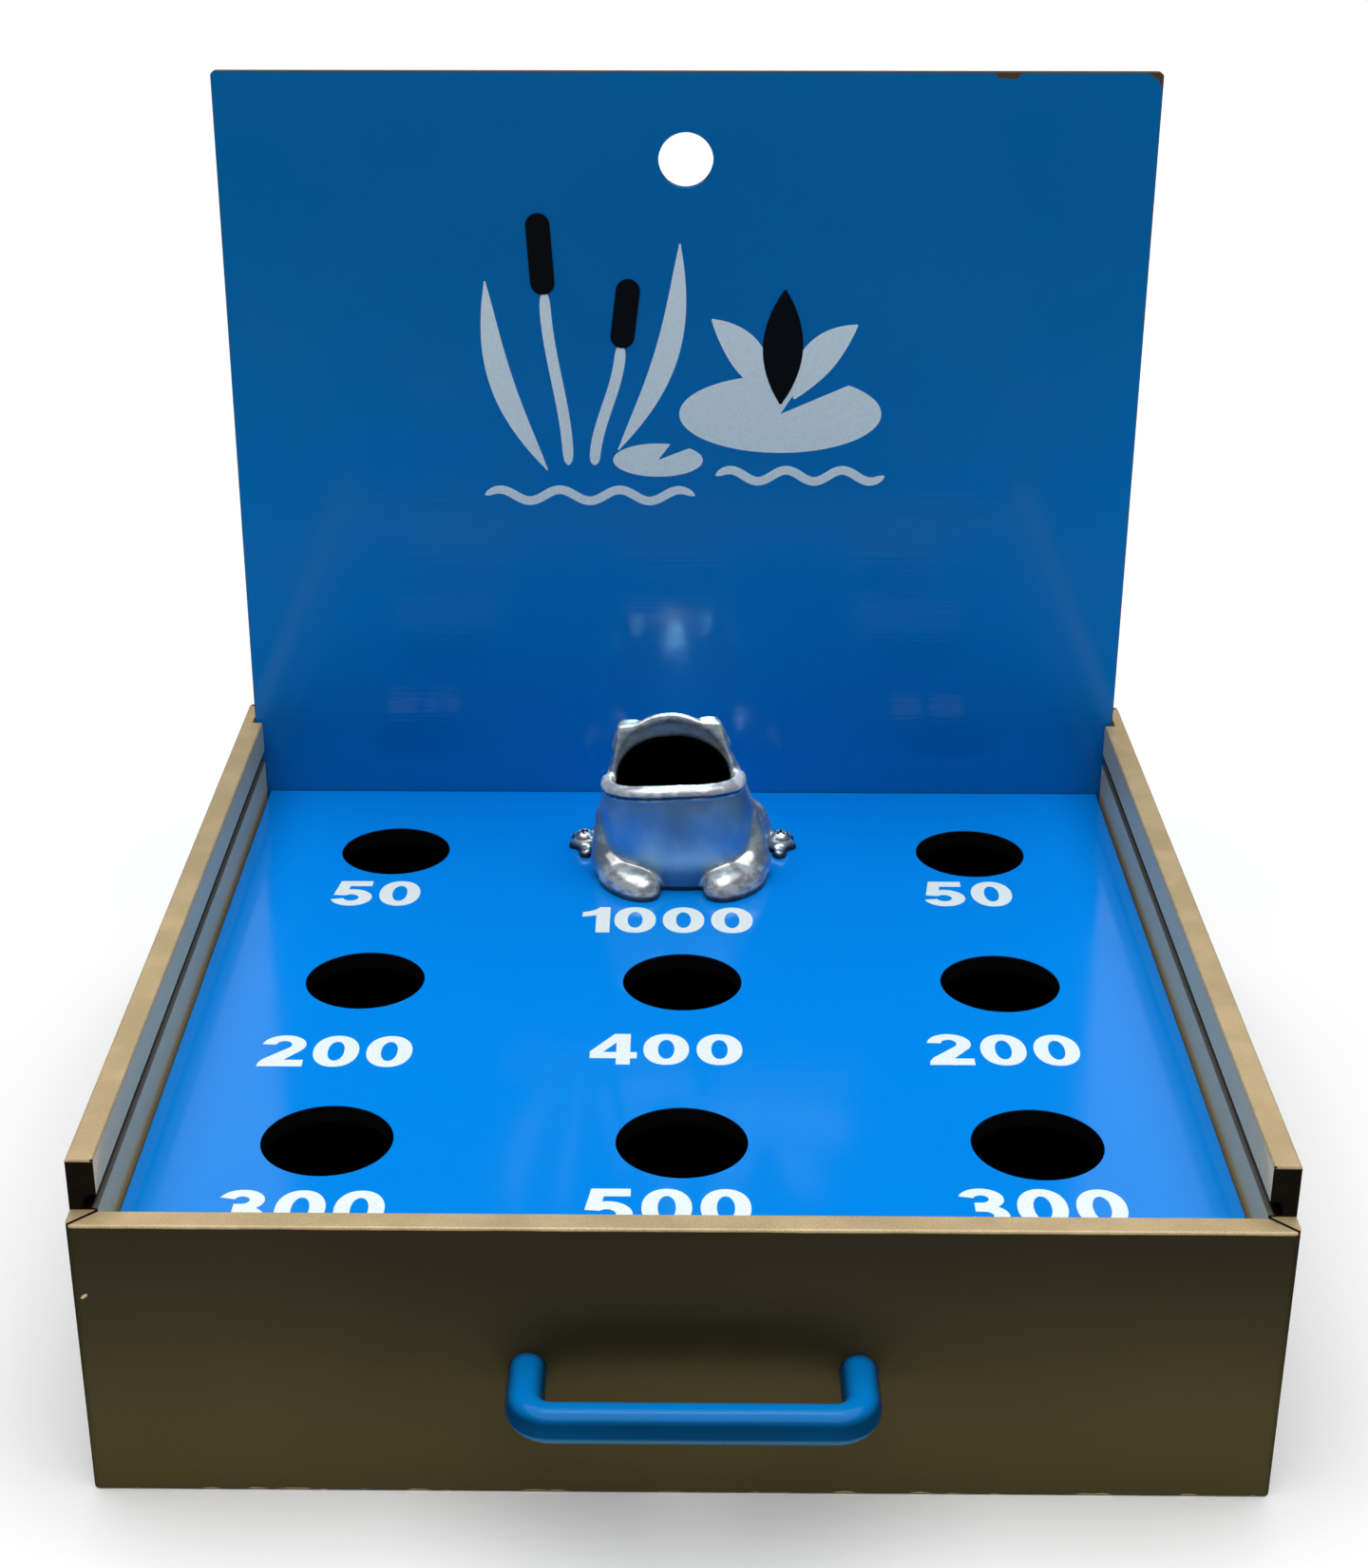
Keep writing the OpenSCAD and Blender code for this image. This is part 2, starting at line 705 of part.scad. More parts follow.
module lid() {
    color(blue) translate([0, lid_y, slot_floor]) difference() {
        translate([0, lid_t, lid_len / 2]) rotate([90, 0, 0])
            linear_extrude(lid_t) polygon(round_rect(lid_w, lid_len, lid_corner_r));
        translate([0, -cut, lid_len - finger_drop]) rotate([-90, 0, 0])
            cylinder(h = lid_t + 2 * cut, d = finger_d);
    }
}

front_wall();
rear_wall();
left_wall();
right_wall();
floor_panel();
left_cleat();
right_cleat();
front_cleat();
rear_rail();
left_divider();
right_divider();
front_divider();
rear_divider();
carry_handle();
handle_screws();
handle_washers();
play_board();
frog();
frog_screws();
frog_washers();
frog_nuts();
lid();
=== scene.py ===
# %% [markdown]
# Frog toss game
#
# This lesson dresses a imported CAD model: a shallow carrying case, a blue play board with scoring holes, a
# cast metal frog with an open mouth, and a blue lid that stands up as a backboard. The CAD solids are the
# fixed frame. Flat boards keep their solids and get paint, while the frog, the screws, the handle and the
# printed figures are worked out here as finer surfaces.

# %% Load the frame
import math

import bmesh
import bpy
import numpy as np
from mathutils import Matrix, Vector


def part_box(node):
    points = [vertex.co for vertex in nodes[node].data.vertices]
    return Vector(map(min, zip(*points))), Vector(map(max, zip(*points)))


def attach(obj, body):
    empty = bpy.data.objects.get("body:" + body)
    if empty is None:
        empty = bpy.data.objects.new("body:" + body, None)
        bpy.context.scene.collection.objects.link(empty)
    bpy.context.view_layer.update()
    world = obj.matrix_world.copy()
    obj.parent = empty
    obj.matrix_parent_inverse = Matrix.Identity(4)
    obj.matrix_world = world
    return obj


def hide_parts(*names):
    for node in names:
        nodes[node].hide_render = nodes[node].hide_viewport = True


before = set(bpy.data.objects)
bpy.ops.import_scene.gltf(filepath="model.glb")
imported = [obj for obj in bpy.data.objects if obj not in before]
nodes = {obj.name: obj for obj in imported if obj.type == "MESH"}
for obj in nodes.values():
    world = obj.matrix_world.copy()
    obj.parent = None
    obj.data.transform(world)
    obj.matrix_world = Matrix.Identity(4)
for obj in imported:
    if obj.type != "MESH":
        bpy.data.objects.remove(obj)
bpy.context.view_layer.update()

# %% [markdown]
# Everything that follows is placed from the solids, so that nothing has to be fitted by eye. Blender works
# in metres, but a maker thinks of this game in millimetres, so sizes are written in millimetres and
# multiplied by MM where they meet the mesh.

# %% Measure the solids
MM = 0.001
lid_low, lid_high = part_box("lid")
front_low, front_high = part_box("front_wall")
bar_low, bar_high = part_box("carry_handle")
screw_low, screw_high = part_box("frog_screws")
board_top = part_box("play_board")[1].z
side_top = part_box("left_wall")[1].z
case_half, inner_half = -front_low.y, -front_high.y
print("board top", round(board_top, 4), "inner half width", round(inner_half, 4))

# %% [markdown]
# The camera stands where the photographer stood, about 60 cm in front of the case and half a metre up. The
# lens and its shift come from lining up the case's straight edges. The frame is taller than it is wide, so
# the 36 mm of the sensor lie along its height.

# %% Camera
CAMERA_PLACE = (-0.9, -784.8, 501.5)
CAMERA_DOWN, CAMERA_LEFT = 24.68, 0.62
SENSOR, LENS = 36, 58.9
SHIFT_X, SHIFT_Y = 0.0184, 0.021
STUDIO_REACH = 50


def add_object(name, data):
    """New object with this data, linked to the scene."""
    item = bpy.data.objects.new(name, data)
    bpy.context.scene.collection.objects.link(item)
    return item


camera = add_object("camera", bpy.data.cameras.new("camera"))
camera.data.sensor_width = SENSOR
camera.data.lens = LENS
camera.data.shift_x, camera.data.shift_y = SHIFT_X, SHIFT_Y
camera.data.clip_end = STUDIO_REACH
camera.location = Vector(CAMERA_PLACE) * MM
camera.rotation_euler = (math.radians(90 - CAMERA_DOWN), 0, math.radians(CAMERA_LEFT))
bpy.context.scene.camera = camera
print("camera at", [round(v, 3) for v in camera.location])

# %% [markdown]
# A studio table shot has one large soft light overhead. It makes the board and the walls' top edges bright
# and leaves the upright faces darker, which is what shows the shape of the box. A sun with a wide disc is
# such a light, and it is as strong on the far floor as on the near one. It stands a little behind the case,
# so the front stays in shade. A weak world light from above the horizon fills the shadows.
#
# Three rectangles that the camera doesn't see do the rest. A pale card behind the case is there for its
# reflection in the gloss paint beside the lid. A softbox overhead shows only in gloss and metal. A narrow
# card on the table throws the handle's soft shadow up the front wall. The standard view transform keeps the
# saturated blue of the paint as it is.

# %% Light
OVERHEAD_WIDTH = 80
WORLD_STRENGTH, WORLD_COLOUR, HORIZON = 0.12, (0.95, 0.97, 1.0, 1), 0.01


def add_lamp(name, kind, power, place, tilt):
    """Lamp that looks straight down from a place in metres and is then tilted about X by an angle."""
    lamp = add_object(name, bpy.data.lights.new(name, kind))
    lamp.data.energy = power
    lamp.location = place
    lamp.rotation_euler = (math.radians(tilt), 0, 0)
    return lamp


def add_card(name, power, place, tilt, width, depth):
    """Glowing rectangle that the camera doesn't see."""
    card = add_lamp(name, "AREA", power, place, tilt)
    card.data.shape = "RECTANGLE"
    card.data.size, card.data.size_y = width, depth
    card.visible_camera = False
    return card


overhead = add_lamp("overhead", "SUN", power=3.05, place=(0, 0.3, 1.8), tilt=-1)
overhead.data.angle = math.radians(OVERHEAD_WIDTH)
add_card("rear_card", power=10, place=(0, 3.0, 2.4), tilt=-52.5, width=4.0, depth=1.6)
softbox = add_card("softbox", power=4.5, place=(0, 0.1, 1.6), tilt=0, width=0.7, depth=0.4)
softbox.visible_diffuse = False
table_card = add_card("table_card", power=0.36, place=(0, -0.258, 0.003), tilt=135, width=0.6, depth=0.05)
table_card.visible_glossy = False
world = bpy.data.worlds.new("studio")
world.use_nodes = True
tree = world.node_tree
sky = tree.nodes["Background"]
sky.inputs["Color"].default_value = WORLD_COLOUR
direction = tree.nodes.new("ShaderNodeTexCoord").outputs["Generated"]
split = tree.nodes.new("ShaderNodeSeparateXYZ")
tree.links.new(direction, split.inputs[0])
above = tree.nodes.new("ShaderNodeMapRange")
above.inputs["From Min"].default_value, above.inputs["From Max"].default_value = -HORIZON, HORIZON
above.inputs["To Max"].default_value = WORLD_STRENGTH
tree.links.new(split.outputs["Z"], above.inputs["Value"])
tree.links.new(above.outputs[0], sky.inputs["Strength"])
bpy.context.scene.world = world
bpy.context.scene.view_settings.view_transform = "Standard"

# %% [markdown]
# Each new piece is a grid of points worked out as whole arrays. One helper numbers the quads of a grid, one
# closes a tube at both ends, and others put points and faces into a mesh, mark its points with a value that
# a material can read, and let it ride on a body of the frame.

# %% Mesh helpers
def grid_faces(rows, columns, wrap_rows=False, wrap_columns=False):
    """Quads of a grid whose points are numbered row by row: a point, its neighbour in the row, and the
    same two of the next row. A wrapped direction joins its last line back to its first."""
    r = np.arange(rows if wrap_rows else rows - 1)[:, None]
    c = np.arange(columns if wrap_columns else columns - 1)[None, :]
    below, beside = (r + 1) % rows, (c + 1) % columns
    corners = (r * columns + c, r * columns + beside, below * columns + beside, below * columns + c)
    shape = (r.size, c.size)
    return np.stack([np.broadcast_to(corner, shape) for corner in corners], axis=-1).reshape(-1, 4)


def full_turn(count):
    """Angles all the way round, without the last one, which is the first again."""
    return np.linspace(0, 2 * math.pi, count, endpoint=False)


def closed_tube(rings):
    """Tube through rings of points, an array of (ring, point, axis). At either end one more ring, shrunk to
    the middle of its neighbour, closes it."""
    ends = np.repeat(rings[[0, -1]].mean(axis=1, keepdims=True), rings.shape[1], axis=1)
    points = np.concatenate([ends[:1], rings, ends[1:]])
    return points, grid_faces(len(points), rings.shape[1], False, True)


def gather(surfaces):
    """One set of points and faces from several (points, faces) pairs: each set of face numbers is moved
    up by the count of the points before it."""
    points = [np.asarray(p).reshape(-1, 3) for p, f in surfaces]
    starts = np.cumsum([0] + [len(p) for p in points[:-1]])
    faces = [face for (p, f), start in zip(surfaces, starts) for face in (np.asarray(f) + start).tolist()]
    return np.concatenate(points), faces


def shade(mesh, smooth=True):
    """Makes every face of a mesh smooth, or every one flat."""
    mesh.polygons.foreach_set("use_smooth", np.full(len(mesh.polygons), smooth))


def dress(mesh, material):
    """Gives a mesh this one material."""
    mesh.materials.clear()
    mesh.materials.append(material)


def mark_points(mesh, name, values):
    """Keeps one value for each point of a mesh under a name."""
    mesh.attributes.new(name, "FLOAT", "POINT").data.foreach_set("value", values.astype(np.float32))


def new_mesh(name, points, faces, smooth=True):
    """Mesh from an array of points in metres, with doubled points merged and faces turned outwards."""
    mesh = bpy.data.meshes.new(name)
    mesh.from_pydata(points.reshape(-1, 3).tolist(), [], faces)
    sheet = bmesh.new()
    sheet.from_mesh(mesh)
    bmesh.ops.remove_doubles(sheet, verts=sheet.verts, dist=1e-7)
    bmesh.ops.recalc_face_normals(sheet, faces=sheet.faces)
    sheet.to_mesh(mesh)
    sheet.free()
    shade(mesh, smooth)
    return mesh


def place_piece(name, mesh, material, body):
    """Object for a mesh that is already in its place, with its paint, its body and its finish."""
    piece = add_object(name, mesh)
    dress(mesh, material)
    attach(piece, body)
    print(name, len(mesh.vertices), "points", len(mesh.polygons), "faces")
    return piece


# %% [markdown]
# Materials are small node trees around one Principled shader. These helpers keep the recipes short: feed
# sets or links a socket, calc is one step of arithmetic, fade goes smoothly from 0 to 1 between two values,
# and layered puts colours over one another where their shares say so. Patterns read Object coordinates, so
# they stay on the piece when it moves.

# %% Material helpers
def new_material(name, metallic, roughness, specular=0.5):
    """Material with one Principled shader, and the x, y and z of the piece's own coordinates."""
    material = bpy.data.materials.new(name)
    material.use_nodes = True
    tree = material.node_tree
    shader = tree.nodes["Principled BSDF"]
    shader.inputs["Metallic"].default_value = metallic
    shader.inputs["Roughness"].default_value = roughness
    shader.inputs["Specular IOR Level"].default_value = specular
    place = tree.nodes.new("ShaderNodeTexCoord").outputs["Object"]
    split = tree.nodes.new("ShaderNodeSeparateXYZ")
    tree.links.new(place, split.inputs[0])
    return material, tree, shader, place, split.outputs


def feed(tree, socket, value):
    """Links a socket to another one, or sets it to a number or colour."""
    if isinstance(value, bpy.types.NodeSocket):
        tree.links.new(value, socket)
    else:
        socket.default_value = value


def calc(tree, operation, *values):
    """One step of arithmetic on sockets and numbers."""
    node = tree.nodes.new("ShaderNodeMath")
    node.operation = operation
    for socket, value in zip(node.inputs, values):
        feed(tree, socket, value)
    return node.outputs[0]


def both(tree, first, *others):
    """Product of shares, which is 1 only where all of them are 1."""
    for other in others:
        first = calc(tree, "MULTIPLY", first, other)
    return first


def either(tree, first, *others):
    """Largest of several shares."""
    for other in others:
        first = calc(tree, "MAXIMUM", first, other)
    return first


def apart(tree, value, other):
    """How far two values are apart."""
    return calc(tree, "ABSOLUTE", calc(tree, "SUBTRACT", value, other))


def clouded(tree, share, clouds, amount):
    """Share moved up and down by an amount of a cloudy pattern, whose middle is a half."""
    return calc(tree, "MULTIPLY_ADD", calc(tree, "SUBTRACT", clouds, 0.5), amount, share)


def fade(tree, value, start, end, low=0.0, high=1.0):
    """Goes smoothly from low to high while the value goes from start to end."""
    node = tree.nodes.new("ShaderNodeMapRange")
    node.interpolation_type = "SMOOTHSTEP"
    keys = ("Value", "From Min", "From Max", "To Min", "To Max")
    for key, item in zip(keys, (value, start, end, low, high)):
        feed(tree, node.inputs[key], item)
    return node.outputs[0]


def mix(tree, share, first, second):
    """Colour between two colours."""
    node = tree.nodes.new("ShaderNodeMix")
    node.data_type = "RGBA"
    for number, value in zip((0, 6, 7), (share, first, second)):
        feed(tree, node.inputs[number], value)
    return node.outputs[2]


def layered(tree, colour, *layers):
    """Colour under layers, each given by its share and its own colour. A later one covers an earlier one."""
    for share, layer in layers:
        colour = mix(tree, share, colour, layer)
    return colour


def noise(tree, place, scale, detail=3.0, stretch=None):
    """Cloudy pattern from 0 to 1, with scale features to a metre, stretched along the axes if asked."""
    node = tree.nodes.new("ShaderNodeTexNoise")
    node.inputs["Scale"].default_value = scale
    node.inputs["Detail"].default_value = detail
    if stretch:
        mapping = tree.nodes.new("ShaderNodeMapping")
        mapping.inputs["Scale"].default_value = stretch
        tree.links.new(place, mapping.inputs["Vector"])
        place = mapping.outputs[0]
    tree.links.new(place, node.inputs["Vector"])
    return node.outputs[0]


def bumps(tree, shader, height, depth, strength=1.0):
    """Makes the surface look raised by a height pattern, as deep as depth in metres."""
    node = tree.nodes.new("ShaderNodeBump")
    node.inputs["Strength"].default_value = strength
    node.inputs["Distance"].default_value = depth
    tree.links.new(height, node.inputs["Height"])
    tree.links.new(node.outputs[0], shader.inputs["Normal"])


def oval_spot(tree, place, middle, half_sizes, turn):
    """1 within an oval around a middle, with half sizes along the axes and a turn about Y."""
    mapping = tree.nodes.new("ShaderNodeMapping")
    mapping.vector_type = "TEXTURE"
    mapping.inputs["Location"].default_value = middle
    mapping.inputs["Rotation"].default_value = (0, math.radians(turn), 0)
    mapping.inputs["Scale"].default_value = half_sizes
    tree.links.new(place, mapping.inputs["Vector"])
    length = tree.nodes.new("ShaderNodeVectorMath")
    length.operation = "LENGTH"
    tree.links.new(mapping.outputs[0], length.inputs[0])
    return fade(tree, length.outputs["Value"], 1.1, 0.9)


def rgb(red, green, blue):
    """Colour for a socket, from linear red, green and blue."""
    return (red, green, blue, 1.0)


# %% [markdown]
# The four walls are sprayed with a metallic bronze paint, whose colour is painted in lit and shaded tones.
# The top edges are a pale tan: partly a painted highlight, where light from above catches the flakes, and
# partly paint rubbed thin by the sliding lid and by hands. The outer faces are painted darker towards the
# top, as painted shade, and the inner faces a paler tone, as painted light. All of this is decided by where
# a point is on the wall: near the top, on the inner face, in the groove, or on the front end of a raised
# side. The groove's ledge is painted a shaded grey and its inside near black, painted shade that leaves a
# thin dark line, and the front end of a raised side is near black. The glued mitres show as fine dark
# lines, and the front has one small nick near its left end.

# %% Bronze paint on the walls
BRONZE = rgb(0.075, 0.061, 0.023)
# Painted shade: the outer faces darken to this towards the top.
BRONZE_SHADED_TOP = rgb(0.032, 0.026, 0.012)
# Pale tan of the top edges, partly painted highlight and partly rubbed paint; the nick uses it as wear.
TAN_LIT_AND_RUBBED = rgb(0.60, 0.46, 0.26)
TAN_LIT_AND_RUBBED_DARK = rgb(0.50, 0.38, 0.21)
# Inner faces: a paler, painted lit tone of the bronze.
INNER_BRONZE_LIT = rgb(0.92, 0.72, 0.40)
# Near black: the mitre joints, the front ends of the raised sides, and the groove's painted shadow.
NEAR_BLACK = rgb(0.010, 0.007, 0.004)
# Painted shade on the groove's ledge.
LEDGE_SHADE = rgb(0.19, 0.175, 0.145)
BARE_FIBRE = rgb(0.36, 0.27, 0.16)
GROOVE_LOW, GROOVE_HIGH = 93.5, 98.1
NICK_X, NICK_Z, NICK_LONG, NICK_SHORT, NICK_TURN = -171.4, 69, 1.2, 0.5, -40


def wall_paint(name, top):
    """Bronze paint for a wall whose top edge is at height top, painted in lit and shaded tones. Shares say
    where a point is, and the layers then go on in order."""
    material, tree, shader, place, axis = new_material(name, 0.3, 0.45, 0.1)
    clouds = noise(tree, place, 9)
    flakes = noise(tree, place, 2600, 1)
    grain = noise(tree, place, 60, 4)
    across, deep = calc(tree, "ABSOLUTE", axis[0]), calc(tree, "ABSOLUTE", axis[1])

    reach = either(tree, across, deep)
    inner = fade(tree, reach, case_half - 1.5 * MM, case_half - 2.5 * MM)
    sunk = fade(tree, reach, inner_half + 1.0 * MM, inner_half + 2.0 * MM)
    half_groove = (GROOVE_HIGH - GROOVE_LOW) / 2 * MM
    off_groove = apart(tree, axis[2], (GROOVE_LOW + GROOVE_HIGH) / 2 * MM)
    # Painted shade: the groove's inside is near black and its ledge a darker grey.
    groove_shadow = both(tree, inner, sunk, fade(tree, off_groove, half_groove + 0.5 * MM, half_groove))
    shaded_ledge = both(tree, inner, fade(tree, apart(tree, axis[2], GROOVE_LOW * MM), 0.4 * MM, 0.2 * MM))

    raised = fade(tree, axis[2], front_high.z + 0.1 * MM, front_high.z + 0.4 * MM)
    at_front = fade(tree, axis[1], -inner_half + 0.6 * MM, -inner_half + 0.2 * MM)
    wavering = calc(tree, "MULTIPLY_ADD", grain, 0.5 * MM, axis[2])
    on_step = fade(tree, wavering, front_high.z - 0.75 * MM, front_high.z - 0.25 * MM)
    on_step = both(tree, on_step, at_front, calc(tree, "SUBTRACT", 1.0, raised))
    on_top = either(tree, on_step, fade(tree, wavering, top - 0.75 * MM, top - 0.25 * MM))
    mitre = fade(tree, apart(tree, across, deep), 1.1 * MM, 0.5 * MM)
    nick = oval_spot(tree, place, (NICK_X * MM, -case_half, NICK_Z * MM),
                     (NICK_LONG * MM, 1.0 * MM, NICK_SHORT * MM), NICK_TURN)
    near_foot = fade(tree, axis[2], 2.5 * MM, 0.3 * MM)
    chip = fade(tree, both(tree, near_foot, noise(tree, place, 140, 2)), 0.52, 0.56)

    # Painted shade: the outer faces grow darker towards the top.
    outer_shade_share = clouded(tree, fade(tree, axis[2], top, 0.0), clouds, 0.5)
    # Top edges: pale tan, partly painted highlight and partly rubbed paint.
    rim = mix(tree, fade(tree, grain, 0.35, 0.7), TAN_LIT_AND_RUBBED_DARK, TAN_LIT_AND_RUBBED)
    # Inner faces painted lit; later layers add painted shade in the groove and a partly painted highlight on
    # top.
    colour = layered(
        tree, mix(tree, outer_shade_share, BRONZE_SHADED_TOP, BRONZE), (inner, INNER_BRONZE_LIT), (shaded_ledge, LEDGE_SHADE),
        (groove_shadow, NEAR_BLACK), (nick, TAN_LIT_AND_RUBBED), (both(tree, raised, at_front), NEAR_BLACK), (on_top, rim),
        (both(tree, mitre, on_top), NEAR_BLACK), (chip, BARE_FIBRE))
    sparkle = tree.nodes.new("ShaderNodeHueSaturation")
    feed(tree, sparkle.inputs["Value"], fade(tree, flakes, 0.3, 0.7, 0.86, 1.14))
    feed(tree, sparkle.inputs["Color"], colour)
    feed(tree, shader.inputs["Base Color"], sparkle.outputs[0])
    feed(tree, shader.inputs["Roughness"], fade(tree, clouds, 0.3, 0.7, 0.36, 0.48))
    bumps(tree, shader, grain, 0.04 * MM, 0.6)
    return material


front_paint = wall_paint("bronze_paint_front", front_high.z)
side_paint = wall_paint("bronze_paint_side", side_top)
print("wall paint", front_paint.name, side_paint.name)

# %% [markdown]
# Board and lid carry the same blue gloss paint. On the board it has dried with a faint ripple called orange
# peel, which is a very shallow bump here. The lid was rolled from side to side, and the fine marks of the
# roller draw the reflection of the frog out into an upright glow. The blue is painted lighter low on the lid
# and at the rear of the board, where less light falls on them, and darker high on the lid: painted light and
# shade, so the blue changes slowly along them. Only the board's face is blue, and the walls of its holes are
# painted black as the shade in them. The lid's edges were sawn after painting and show brown fibre, with a
# few chips where the paint has broken away, one of them on the top edge and one at a corner.

# %% Blue paint on the board and the lid
# Painted light and shade: the rear of the board and the foot of the lid lighter, the top of the lid darker.
BOARD_FRONT, BOARD_REAR_PAINTED_LIT = rgb(0.0005, 0.240, 0.80), rgb(0.0005, 0.270, 0.90)
LID_FOOT_PAINTED_LIT, LID_TOP_PAINTED_SHADE = rgb(0.0003, 0.200, 0.585), rgb(0.0003, 0.138, 0.405)
EDGE_FIBRE = rgb(0.085, 0.055, 0.030)
# Near black painted where the inside of the case stands in shade: the walls of the holes and the tray.
SHADE_BLACK = rgb(0.006, 0.006, 0.007)
CHIP_X, CHIP_HALF, CHIP_DEPTH = 114.6, 5, 3.6


def blue_paint(name, specular, roughness, along, start, end, first, last):
    """Blue paint that goes from a first to a last colour along an axis, and the tree for what a piece adds
    to it."""
    material, tree, shader, place, axis = new_material(name, 0.0, roughness, specular)
    share = clouded(tree, fade(tree, axis[along], start, end), noise(tree, place, 5), 0.5)
    colour = mix(tree, share, first, last)
    feed(tree, shader.inputs["Roughness"],
         fade(tree, noise(tree, place, 30), 0.3, 0.7, roughness - 0.02, roughness + 0.02))
    return material, tree, shader, place, axis, colour


def board_coat():
    """Blue face with orange peel, and black painted on the walls of the holes as shade."""
    material, tree, shader, place, axis, colour = blue_paint(
        "blue_paint_board", 0.35, 0.12, 1, -0.15, 0.15, BOARD_FRONT, BOARD_REAR_PAINTED_LIT)
    bumps(tree, shader, noise(tree, place, 260, 0), 0.02 * MM, 0.1)
    face = fade(tree, axis[2], board_top - 0.35 * MM, board_top - 0.15 * MM)
    feed(tree, shader.inputs["Base Color"], mix(tree, face, SHADE_BLACK, colour))
    return material


def lid_coat():
    """Blue with the roller's marks, and brown fibre at the edges, which reaches into the face where a chip
    has broken away."""
    material, tree, shader, place, axis, colour = blue_paint(
        "blue_paint_lid", 0.28, 0.1, 2, 0.10, 0.34, LID_FOOT_PAINTED_LIT, LID_TOP_PAINTED_SHADE)
    bumps(tree, shader, noise(tree, place, 900, 1, (0.04, 1, 1)), 0.035 * MM)
    to_top = calc(tree, "SUBTRACT", lid_high.z, axis[2])
    to_right = calc(tree, "SUBTRACT", lid_high.x, axis[0])
    to_side = calc(tree, "SUBTRACT", lid_high.x, calc(tree, "ABSOLUTE", axis[0]))
    at_chip = fade(tree, apart(tree, axis[0], CHIP_X * MM), CHIP_HALF * MM, 0.6 * CHIP_HALF * MM)
    knock = both(tree, at_chip, fade(tree, axis[2], 0.30, 0.31))
    corner = fade(tree, calc(tree, "ADD", to_top, to_right), 7 * MM, 3 * MM)
    worn = either(tree, knock, corner, fade(tree, noise(tree, place, 42, 2), 0.66, 0.74))
    bite = both(tree, worn, noise(tree, place, 160, 2), CHIP_DEPTH * MM)
    to_fibre = calc(tree, "SUBTRACT", calc(tree, "MINIMUM", to_top, to_side), bite)
    sawn = fade(tree, to_fibre, 0.35 * MM, 0.15 * MM)
    feed(tree, shader.inputs["Base Color"], mix(tree, sawn, colour, EDGE_FIBRE))
    return material


board_paint = board_coat()
lid_paint = lid_coat()
print("blue paint", board_paint.name, lid_paint.name)

# %% [markdown]
# Under the board everything is plain. The tray's floor and dividers are hardboard, painted black inside as
# the shade that makes the holes read as black, and bare brown underneath. The strips that carry the board
# are pine painted near black in the same way, whose grain is a noise pattern drawn out along the strip.

# %% Wood inside the case
def shade_black_hardboard():
    """Black on its upper side, as painted shade, and brown fibre below the floor panel."""
    material, tree, shader, place, axis = new_material("hardboard_shade_black", 0.0, 0.75)
    fibres = noise(tree, place, 900, 4)
    brown = mix(tree, fade(tree, fibres, 0.3, 0.7), rgb(0.17, 0.10, 0.05), rgb(0.27, 0.17, 0.09))
    below = fade(tree, axis[2], 0.3 * MM, 0.1 * MM)
    feed(tree, shader.inputs["Base Color"], mix(tree, below, SHADE_BLACK, brown))
    bumps(tree, shader, fibres, 0.08 * MM, 0.5)
    return material


def shade_black_pine(name, stretch):
    """Pine painted near black as shade, whose grain is drawn out along the axis with the small stretch."""
    material, tree, shader, place, _ = new_material(name, 0.0, 0.6)
    grain = noise(tree, place, 220, 4, stretch)
    feed(tree, shader.inputs["Base Color"],
         mix(tree, fade(tree, grain, 0.35, 0.7), rgb(0.022, 0.018, 0.014), rgb(0.009, 0.008, 0.007)))
    bumps(tree, shader, grain, 0.1 * MM, 0.5)
    return material


hardboard = shade_black_hardboard()
pine_along_x = shade_black_pine("pine_along_x", (0.04, 1, 1))
pine_along_y = shade_black_pine("pine_along_y", (1, 0.04, 1))
print("wood", hardboard.name, pine_along_x.name, pine_along_y.name)

# %% [markdown]
# Three metals: the handle has a thick blue dip coat, the screws are zinc plated, and the frog is a polished
# casting. Its skin is satin with soft, uneven ripples, so roughness and bump both follow a cloudy pattern.
# That skin is also tinted blue, a painted reflection of the blue board. What faces up is painted brighter,
# partly as buffed metal and partly as painted highlight, the lip, crest and feet carry painted highlights in
# patches, painted shade lies in the creases and along the board, and the inside is painted near black as
# shade. Four attributes on the mesh, worked out later, tell the material where those are.

# %% Metals
# Handle: a painted highlight on top, painted shade down the front and a painted floor reflection below.
DIP_PAINTED_LIT_TOP, DIP_PAINTED_SHADE_FRONT, DIP_PAINTED_FLOOR_REFLECTION = rgb(0.001, 0.20, 0.59), rgb(0.0003, 0.030, 0.085), rgb(0.025, 0.09, 0.15)
# The last of these is black painted into the screws' recesses as shade.
ZINC_DARK, ZINC_PALE, RECESS_SHADE_BLACK = rgb(0.52, 0.53, 0.55), rgb(0.72, 0.73, 0.75), rgb(0.01, 0.01, 0.01)
# The skin's blue tint is a painted reflection of the board.
SKIN_REFLECTED_BLUE_DARK, SKIN_REFLECTED_BLUE_PALE = rgb(0.31, 0.50, 0.65), rgb(0.42, 0.64, 0.80)
# Painted brighter where the frog faces up: partly buffed metal, partly painted highlight.
LIT_BUFFED_DULL, LIT_BUFFED_BRIGHT = rgb(0.34, 0.37, 0.39), rgb(0.80, 0.82, 0.79)
# Painted highlight on the lip, the crest and the feet.
HIGHLIGHT_DULL, HIGHLIGHT_BRIGHT = rgb(0.52, 0.55, 0.56), rgb(0.95, 0.96, 0.94)
# Painted shade in the frog's creases and along the board, and near black inside the hollow as shade.
PAINTED_SHADE_NAVY, INSIDE_SHADE_BLACK = rgb(0.010, 0.016, 0.030), rgb(0.006, 0.006, 0.008)


